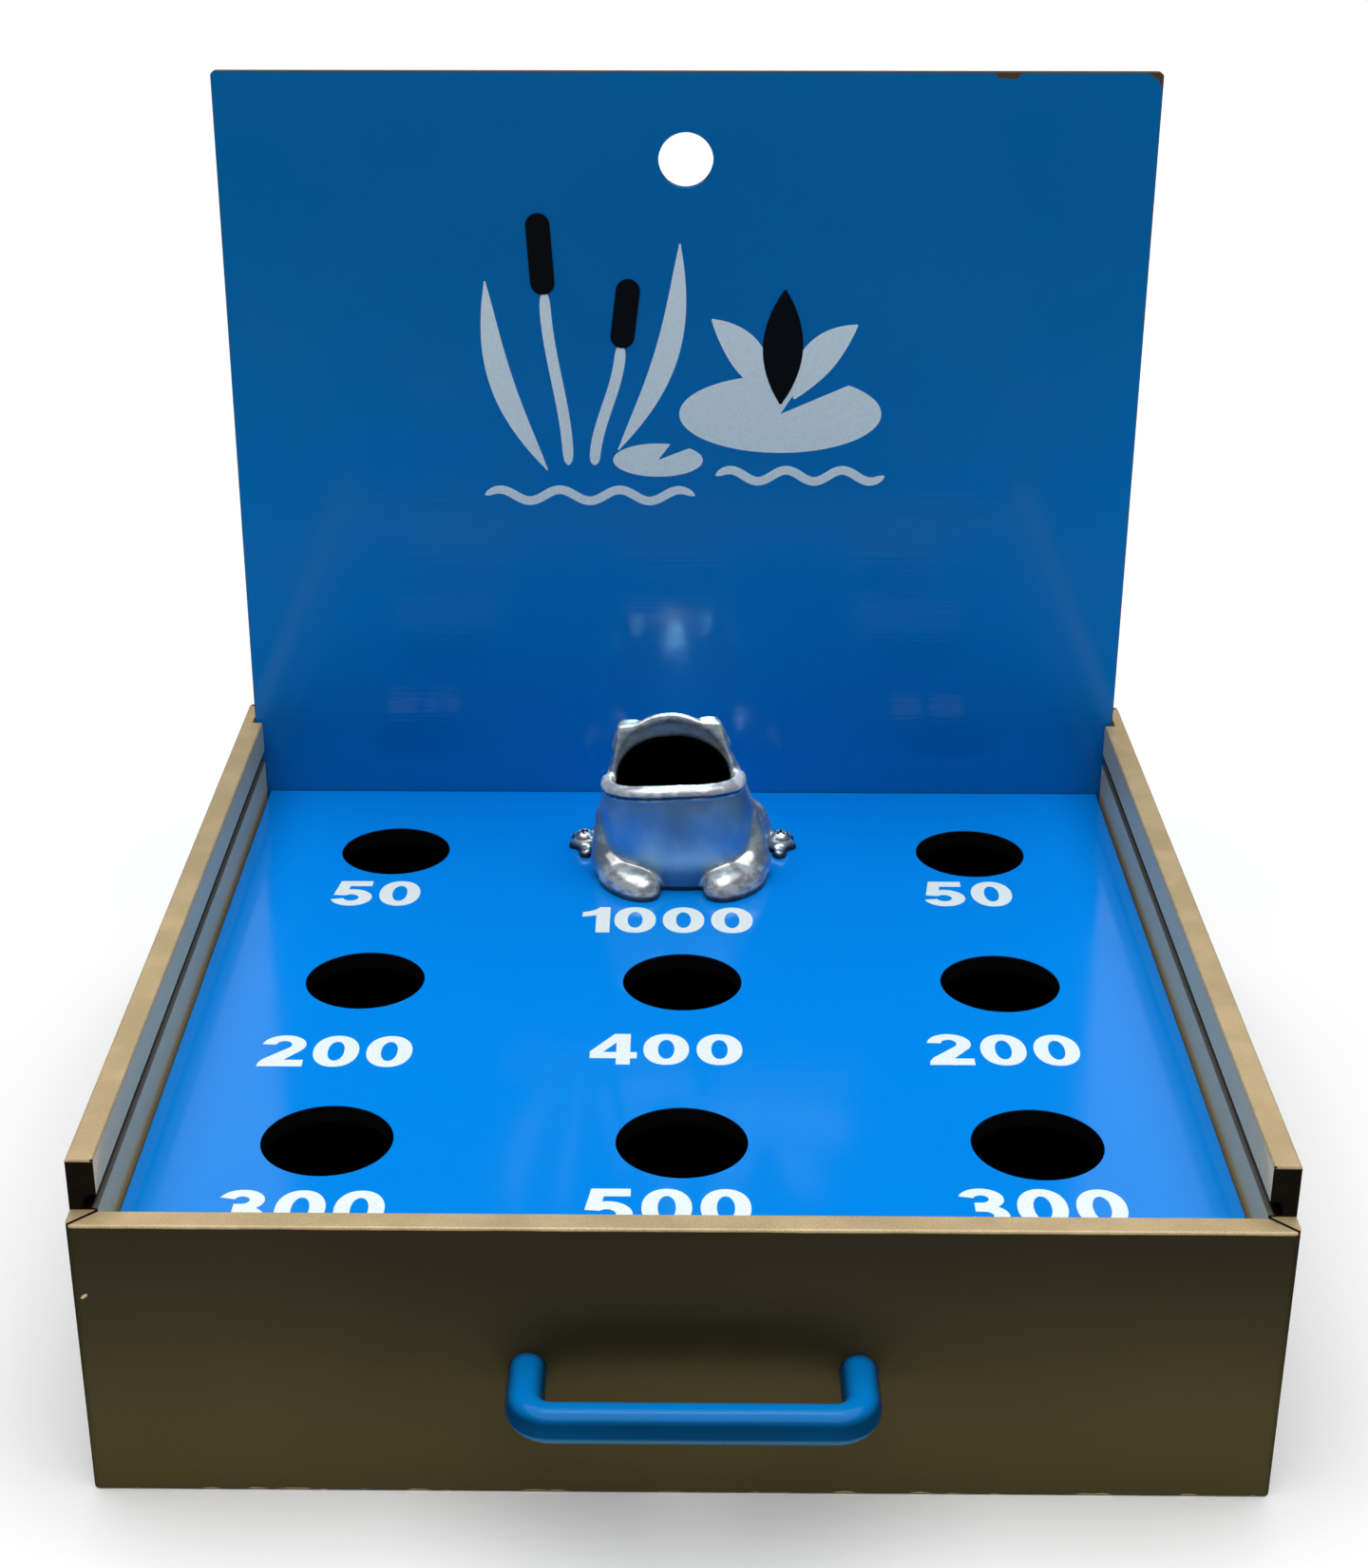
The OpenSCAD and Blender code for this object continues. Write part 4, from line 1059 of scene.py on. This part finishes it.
# Marks: buffed metal that is partly painted highlight, painted highlight, and painted shade.
marks = {
    "inside": [within],
    "buffed_and_lit": [step(facing_up, 0.15, 0.75), on_lip, on_crest, on_foot, JAW_BUFFED_AND_LIT * on_jaw],
    "painted_highlight": [on_lip, CREST_HIGHLIGHT * on_crest, FOOT_HIGHLIGHT * on_foot],
    "painted_shade": [under_lip, BOARD_SHADE * at_board, BELLY_SHADE * at_belly],
}
for name, shares in marks.items():
    mark_points(skin, name, np.maximum.reduce(shares))
shade(skin)
frog_piece = place_piece("frog_casting", skin, casting, "board")
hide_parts("frog")

# %% [markdown]
# The lid throws light back onto the frog, and its gloss paint shows the bright back of the casting as a soft
# streak above the head. A narrow lamp just in front of the lid, pale blue as the light from the paint is,
# does the same. It is linked to the frog alone, so that no other piece mirrors the lamp.

# %% Light from the lid
BOUNCE_COLOUR = (0.42, 0.83, 1.0)
bounce = add_card("lid_bounce", power=0.5, place=(0, 0.151, 0.185), tilt=-68, width=0.025, depth=0.12)
bounce.data.color = BOUNCE_COLOUR
bounce.visible_diffuse = False
lit_frog = bpy.data.collections.new("lit_by_lid")
lit_frog.objects.link(frog_piece)
bounce.light_linking.receiver_collection = lit_frog

# %% [markdown]
# The round knobs on the hind feet are pan-head screws with a cross recess. The head is a surface of
# revolution: a dome, a flat underside, the shank and its tip. The recess is a dip in the dome whose depth is
# a smooth step of the distance from the two arms of the cross. It is painted black as shade, so it reads as a
# dark dot.

# %% Screws of the frog
SCREW_D = 4
HEAD_R, HEAD_H = 0.95 * SCREW_D, 0.65 * SCREW_D
TIP_BEVEL, TIP_LEN = 0.5, 0.6
RECESS_DEPTH, RECESS_REACH, RECESS_HALF = 1.5, 2.1, 0.6
REACH_SLOPE, HALF_SLOPE = 0.2, 0.12
RECESS_SHADE_R, RECESS_SHADE_SLOPE = 1.4, 0.3
reach_down = (screw_high.z - screw_low.z) / MM - HEAD_H
seat_z = board_top / MM + LUG_T


def screw_surface(middle, turn, rows=44, columns=96):
    """Profile (radius, height) carried round the screw's axis, with the cross sunk into the dome."""
    dome_r = (HEAD_R ** 2 + HEAD_H ** 2) / (2 * HEAD_H)
    r_dome = np.linspace(0, HEAD_R, rows)
    z_dome = np.sqrt(dome_r ** 2 - r_dome ** 2) + HEAD_H - dome_r
    half = SCREW_D / 2
    r = np.concatenate([r_dome, [half, half, half - TIP_BEVEL, 0]])[:, None]
    z = np.concatenate([z_dome, [0, TIP_LEN - reach_down, -reach_down, -reach_down]])[:, None]
    angle = full_turn(columns)[None, :]
    x, y = r * np.cos(angle), r * np.sin(angle)
    in_arm = step(np.minimum(np.abs(x), np.abs(y)), RECESS_HALF + HALF_SLOPE, RECESS_HALF - HALF_SLOPE)
    in_reach = step(r, RECESS_REACH + REACH_SLOPE, RECESS_REACH - REACH_SLOPE)
    on_dome = np.arange(len(r))[:, None] < rows
    height = z - RECESS_DEPTH * in_arm * in_reach * on_dome
    c, s = math.cos(math.radians(turn)), math.sin(math.radians(turn))
    points = np.stack([c * x - s * y, s * x + c * y, height], axis=-1) + middle
    return points, grid_faces(len(r), columns, False, True)


screws = []
for side, turn in ((-1, -5), (1, 45)):
    screws.append(screw_surface((side * LUG_SPAN / 2, frog_middle[1] + LUG_BACK, seat_z), turn))
screw_points, screw_faces = gather(screws)
screw_mesh = new_mesh("frog_screws_detailed", screw_points * MM, screw_faces)
on_screw = read_rows(screw_mesh.vertices, "co") / MM - (0, frog_middle[1], seat_z)
# Painted shade: the middle of each screw head is marked to be painted black.
recess_shade = step(off_screw(on_screw), RECESS_SHADE_R + RECESS_SHADE_SLOPE, RECESS_SHADE_R - RECESS_SHADE_SLOPE) * (on_screw[:, 2] > 0)
mark_points(screw_mesh, "recess_shade", recess_shade)
screw_piece = place_piece("frog_screws_detailed", screw_mesh, zinc, "board")
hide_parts("frog_screws")

# %% [markdown]
# The handle is a bar with two tight bends, dipped in blue. A circle carried along a flat path makes it: leg,
# quarter circle, bar, quarter circle, leg. Its sizes are read from the solid that it replaces.

# %% Carrying handle
BEND, LEG_STEPS = 8 * MM, 8
bar_r = (bar_high.z - bar_low.z) / 2
half_span = (bar_high.x - bar_low.x) / 2 - bar_r
bar_x = (bar_high.x + bar_low.x) / 2
bar_y, bar_z = bar_low.y + bar_r, (bar_high.z + bar_low.z) / 2


def handle_path(steps=24):
    """Middle line from one wall end to the other and its direction, both in the handle's plane."""
    quarter = np.linspace(0, math.pi / 2, steps)
    bend_x = half_span - BEND + BEND * np.cos(quarter)
    bend_y = bar_y + BEND - BEND * np.sin(quarter)
    leg_y = np.linspace(bar_high.y, bar_y + BEND, LEG_STEPS)[:-1]
    leg_x = np.full_like(leg_y, half_span)
    right = np.concatenate([np.stack([leg_x, leg_y], axis=1), np.stack([bend_x, bend_y], axis=1)])
    line = np.concatenate([right, right[::-1] * (-1, 1)]) + (bar_x, 0)
    ahead = np.gradient(line, axis=0)
    return line, ahead / np.linalg.norm(ahead, axis=1, keepdims=True)


def handle_surface(sides=48):
    """Circle carried along the path: across the path by the cosine, and up by the sine."""
    line, ahead = handle_path()
    turn = full_turn(sides)
    across = np.stack([-ahead[:, 1], ahead[:, 0]], axis=1)
    flat = line[:, None, :] + bar_r * np.cos(turn)[None, :, None] * across[:, None, :]
    height = np.broadcast_to(bar_z + bar_r * np.sin(turn), flat.shape[:2])
    return closed_tube(np.concatenate([flat, height[..., None]], axis=-1))


bar_points, bar_faces = handle_surface()
bar_mesh = new_mesh("handle_bar", bar_points, bar_faces.tolist())
handle_piece = place_piece("handle_bar", bar_mesh, handle_paint, "case")
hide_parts("carry_handle")

# %% [markdown]
# The scores are screen printed in white, in a heavy plain sans-serif. A font file can't be read here, so
# each figure is drawn as its outline: straight lines and arcs in millimetres, 20 mm tall. A flat curve fills
# an outline and leaves the holes inside it open, and is then made a mesh.

# %% Figures
FIGURE_STEP, NARROW_STEP = 17.5, 11.6
INK = 0.1


def arc(x, y, rx, ry, start, end, count=28, power=1.0):
    """Points of an ellipse's arc from one angle to another, squared off when the power is under 1."""
    angle = np.radians(np.linspace(start, end, count))
    across, up = signed_power(np.cos(angle), power), signed_power(np.sin(angle), power)
    return np.stack([x + rx * across, y + ry * up], axis=1)


def figure_0():
    """An outer and an inner oval, both a little squared."""
    return [arc(7.5, 10, 7.5, 10.1, 0, 358, 72, 0.93), arc(7.5, 10, 2.7, 6.2, 0, 358, 56, 0.95)]


def figure_1():
    """An upright with a flag at its upper left."""
    upright = [(5, 0), (10, 0), (10, 20), (6.3, 20)]
    flag = [(4.6, 17.9), (2.4, 16.6), (0, 16), (0, 12.3), (5, 13.6)]
    return [np.array(upright + flag)]


def figure_2():
    """The bowl from outside, the foot, and the bowl from inside."""
    bowl = arc(7.5, 13.9, 7.2, 6.3, 176, -36)
    counter = arc(7.4, 13.9, 2.6, 2.6, -45, 176)
    foot = np.array([(8.4, 4.2), (14.9, 4.2), (14.9, 0), (0.2, 0), (0.4, 2.4), (1.6, 4.6)])
    return [np.concatenate([bowl, foot, counter])]


def figure_3():
    """Both bowls from outside, and both from inside with the waist between them."""
    upper, lower = arc(7.2, 14.6, 6.8, 5.6, 166, -46), arc(7.4, 5.7, 7.5, 5.9, 47, -168)
    under, over = arc(7.4, 5.7, 2.8, 2.2, -168, 90), arc(7.2, 14.6, 2.3, 2.0, -90, 166)
    waist = np.array([(5.0, 7.9), (5.0, 12.6)])
    return [np.concatenate([upper, lower, under, waist, over])]


def figure_4():
    """The upright with its bar and slanted stroke, and the open triangle."""
    right = [(8.6, 0), (13.2, 0), (13.2, 4), (15.4, 4), (15.4, 8), (13.2, 8), (13.2, 20)]
    left = [(7.9, 20), (0, 8.4), (0, 4), (8.6, 4)]
    return [np.array(right + left), np.array([(8.6, 8), (8.6, 14.4), (4.2, 8)])]


def figure_5():
    """The bar and its neck, and the bowl from outside and from inside."""
    bar = np.array([(0.7, 8.6), (2.4, 20), (14.2, 20), (14.2, 15.9), (6.2, 15.9), (5.8, 12.9)])
    bowl = arc(7.4, 6.5, 7.6, 6.7, 104, -166)
    counter = arc(7.3, 6.4, 2.8, 2.6, -166, 138)
    return [np.concatenate([bar, bowl, counter])]


figures = {"0": figure_0, "1": figure_1, "2": figure_2, "3": figure_3, "4": figure_4, "5": figure_5}


def number_loops(text):
    """Outlines of a whole number, set side by side and centred on x = 0."""
    loops, pen = [], 0.0
    for figure in text:
        loops += [loop + (pen, 0) for loop in figures[figure]()]
        pen += NARROW_STEP if figure == "1" else FIGURE_STEP
    width = max(loop[:, 0].max() for loop in loops)
    return [loop - (width / 2, 0) for loop in loops]


def filled_print(name, loops):
    """Points and faces of a thin flat print from its outlines, in millimetres, half its ink above z = 0."""
    curve = bpy.data.curves.new(name, "CURVE")
    curve.dimensions = "2D"
    curve.fill_mode = "BOTH"
    curve.extrude = INK / 2
    for loop in loops:
        spline = curve.splines.new("POLY")
        spline.points.add(len(loop) - 1)
        spline.points.foreach_set("co", np.column_stack([loop, 0 * loop[:, 0], 0 * loop[:, 0] + 1]).ravel())
        spline.use_cyclic_u = True
    shape = add_object(name, curve)
    mesh = bpy.data.meshes.new_from_object(shape.evaluated_get(bpy.context.evaluated_depsgraph_get()))
    points, faces = read_rows(mesh.vertices, "co"), [list(p.vertices) for p in mesh.polygons]
    bpy.data.objects.remove(shape)
    bpy.data.curves.remove(curve)
    bpy.data.meshes.remove(mesh)
    return points, faces


print("figures", "".join(figures))

# %% [markdown]
# Printing ink is thin but opaque. Screen printing leaves a slightly matt film with tiny pinholes, so the ink
# materials are pale or dark colours with a fine grain in colour and roughness.

# %% Inks
def ink(name, thick, thin):
    """Ink between two colours, with a fine grain."""
    material, tree, shader, place, _ = new_material(name, 0.0, 0.4, 0.15)
    grain = noise(tree, place, 1500, 3)
    feed(tree, shader.inputs["Base Color"], mix(tree, fade(tree, grain, 0.3, 0.62), thin, thick))
    feed(tree, shader.inputs["Roughness"], fade(tree, grain, 0.3, 0.7, 0.34, 0.5))
    return material


white_ink = ink("white_ink", rgb(0.84, 0.93, 0.93), rgb(0.72, 0.84, 0.87))
grey_ink = ink("pale_grey_ink", rgb(0.70, 0.82, 0.84), rgb(0.62, 0.75, 0.79))
black_ink = ink("black_ink", rgb(0.003, 0.0035, 0.005), rgb(0.006, 0.006, 0.008))
print("inks", white_ink.name, grey_ink.name, black_ink.name)

# %% [markdown]
# Each score stands in front of its hole. The stencil lay a few millimetres to the left, so the numbers
# aren't quite centred on the holes, and the gap below the middle row is larger than the others.

# %% Scores on the board
HOLE_X = 109.5
scores = {
    "score_50_left": ("50", -HOLE_X - 3.6, 53.6), "score_1000": ("1000", -5.4, 33.0),
    "score_50_right": ("50", HOLE_X - 4.2, 55.4),
    "score_200_left": ("200", -HOLE_X - 4.0, -63.0), "score_400": ("400", -5.2, -60.6),
    "score_200_right": ("200", HOLE_X - 4.0, -59.8),
    "score_300_left": ("300", -HOLE_X - 3.2, -156.2), "score_500": ("500", -4.4, -154.2),
    "score_300_right": ("300", HOLE_X - 2.8, -153.2),
}
for name, (text, x, y) in scores.items():
    points, faces = filled_print(name, number_loops(text))
    points = (points + (x, y, board_top / MM + INK / 2)) * MM
    place_piece(name, new_mesh(name, points, faces, smooth=False), white_ink, "board")

# %% [markdown]
# The lid carries a simple pond in pale grey and black: bulrushes, two lily pads, a water lily and ripples.
# All shapes are outlines again. A ribbon is a path with a width, a lens is a leaf or petal between two
# points, a pad is an ellipse with a wedge cut out of it, and a capsule is a bar with round ends.

# %% Shapes of the pond
def ribbon(x, y, width):
    """Outline of a band: the path moved to both sides by half its width, which may change along it."""
    path = np.stack(np.broadcast_arrays(x, y), axis=1)
    ahead = np.gradient(path, axis=0)
    ahead /= np.linalg.norm(ahead, axis=1, keepdims=True)
    across = np.stack([-ahead[:, 1], ahead[:, 0]], axis=1) * (np.broadcast_to(width, len(path)) / 2)[:, None]
    return np.concatenate([path + across, (path - across)[::-1]])


def round_ended(t, width):
    """Width of a band along t from 0 to 1 that closes in a short round end on both sides."""
    return width * np.sqrt(np.clip(1 - np.abs(2 * t - 1) ** 14, 0.02, 1))


def lens(base, tip, width, bow=0.0):
    """Leaf or petal from base to tip: its width follows a sine, and its middle line bows to one side."""
    t = np.linspace(0, 1, 40)
    base, tip = np.asarray(base, float), np.asarray(tip, float)
    aside = np.array([-(tip - base)[1], (tip - base)[0]]) / np.linalg.norm(tip - base)
    line = base + t[:, None] * (tip - base) + (bow * np.sin(math.pi * t))[:, None] * aside
    return ribbon(line[:, 0], line[:, 1], width * np.sin(math.pi * np.clip(t, 0.01, 0.99)) ** 0.8)


def pad(x, y, rx, ry, notch):
    """Ellipse with a wedge from its middle, around the angle notch."""
    rim = arc(x, y, rx, ry, notch + 14, notch + 346, 80)
    return np.concatenate([rim, [(x, y)]])


def capsule(x, y, length, width, lean):
    """Upright bar with round ends, leaning by an angle."""
    half, end_r = (length - width) / 2, width / 2
    outline = np.concatenate([arc(0, half, end_r, end_r, 0, 180), arc(0, -half, end_r, end_r, 180, 360)])
    c, s = math.cos(math.radians(lean)), math.sin(math.radians(lean))
    return outline @ np.array([[c, s], [-s, c]]) + (x, y)


def stem(x0, x1, z0, z1, width, steps=60):
    """Stem that rises from x0 and leans over to x1 with a sine's ease."""
    t = np.linspace(0, 1, steps)
    return ribbon(x0 + (x1 - x0) * np.sin(t * math.pi / 2) ** 2, z0 + (z1 - z0) * t, round_ended(t, width))


def ripple(x0, x1, z, waves, width=3.4, swing=2.2, steps=60):
    """Wave line at height z."""
    t = np.linspace(0, 1, steps)
    return ribbon(x0 + (x1 - x0) * t, z + swing * np.sin(t * waves * 2 * math.pi), round_ended(t, width))


print("a ripple has", len(ripple(0, 1, 0, 1)), "points and a pad", len(pad(0, 0, 1, 1, 0)))

# %% [markdown]
# The print has three layers, as a screen printer would pull them: pale grey, pale grey again for what lies
# in front, and black. Each layer lies one film of ink above the last, so that shapes that overlap don't
# fight over one plane.

# %% Pond print on the lid
rear_shapes = {
    "pond_stem_tall": stem(-44, -52, 216, 282, 4.2),
    "pond_stem_short": stem(-34, -24, 216, 262, 4.2),
    "pond_leaf_left": lens((-52, 214), (-74, 286), 9, 6),
    "pond_leaf_right": lens((-25, 222), (-2, 300), 9, -7),
    "pond_pad_large": pad(36, 236, 38, 15, 62),
    "pond_ripple_front": ripple(-76, 4, 204, 3.5),
    "pond_ripple_rear": ripple(12, 76, 212, 3),
}
front_shapes = {
    "pond_pad_small": pad(-10, 218, 17, 6.5, 60),
    "pond_petal_left": lens((31, 242), (10, 272), 13, -3),
    "pond_petal_right": lens((41, 242), (64, 270), 13, 3),
}
dark_shapes = {
    "pond_head_tall": capsule(-53.4, 296, 30, 9, 4),
    "pond_head_short": capsule(-22.2, 274, 26, 9, -7),
    "pond_petal_middle": lens((36, 240), (37, 283), 15),
}
layers = ((rear_shapes, grey_ink), (front_shapes, grey_ink), (dark_shapes, black_ink))
for layer, (group, ink_used) in enumerate(layers):
    for name, outline in group.items():
        flat, faces = filled_print(name, [outline])
        depth = lid_low.y - (flat[:, 2] + INK * (layer + 0.5)) * MM
        points = np.stack([flat[:, 0] * MM, depth, flat[:, 1] * MM], axis=1)
        place_piece(name, new_mesh(name, points, faces, smooth=False), ink_used, "lid")

# %% [markdown]
# A plain pale floor lies under the case, and far around it rises as a sweep that closes the view from the
# side. The glossy pieces don't mirror the floor, as if the room in front of the table were dark. Both are
# staging and not a part of the object.

# %% Floor and backdrop
FLOOR_GAP = 0.2 * MM
FLOOR_DARK, FLOOR_PALE = rgb(0.92, 0.92, 0.92), rgb(0.94, 0.94, 0.94)


def pale_floor(half=9.0):
    """One large square with a faint cloudy tone."""
    material, tree, shader, place, _ = new_material("pale_floor", 0.0, 0.85)
    tone = fade(tree, noise(tree, place, 1.5), 0.3, 0.7)
    feed(tree, shader.inputs["Base Color"], mix(tree, tone, FLOOR_DARK, FLOOR_PALE))
    corners = [(-half, -half, -FLOOR_GAP), (half, -half, -FLOOR_GAP), (half, half, -FLOOR_GAP),
               (-half, half, -FLOOR_GAP)]
    mesh = bpy.data.meshes.new("floor")
    mesh.from_pydata(corners, [], [(0, 1, 2, 3)])
    dress(mesh, material)
    return add_object("floor", mesh)


def backdrop(material, flat=6.0, bend=4.0, height=9.0, columns=96):
    """Sweep around the floor: a quarter circle up from the floor and a wall, carried round the middle."""
    quarter = np.linspace(0, math.pi / 2, 24)
    r = np.concatenate([flat + bend * np.sin(quarter), [flat + bend]])[:, None]
    z = np.concatenate([bend - bend * np.cos(quarter), [height]])[:, None]
    turn = full_turn(columns)[None, :]
    points = np.stack(np.broadcast_arrays(r * np.cos(turn), r * np.sin(turn), z), axis=-1)
    faces = grid_faces(len(r), columns, False, True)
    mesh = bpy.data.meshes.new("backdrop")
    mesh.from_pydata(points.reshape(-1, 3).tolist(), [], faces.tolist())
    shade(mesh)
    dress(mesh, material)
    return add_object("backdrop", mesh)


floor = pale_floor()
floor.visible_glossy = False
sweep = backdrop(floor.data.materials[0])
sweep.visible_glossy = sweep.visible_diffuse = sweep.visible_shadow = False
print("floor", [round(v, 2) for v in floor.dimensions], "backdrop", [round(v, 2) for v in sweep.dimensions])

# %% [markdown]
# Last, the view layer is updated.

# %% Finish
bpy.context.view_layer.update()
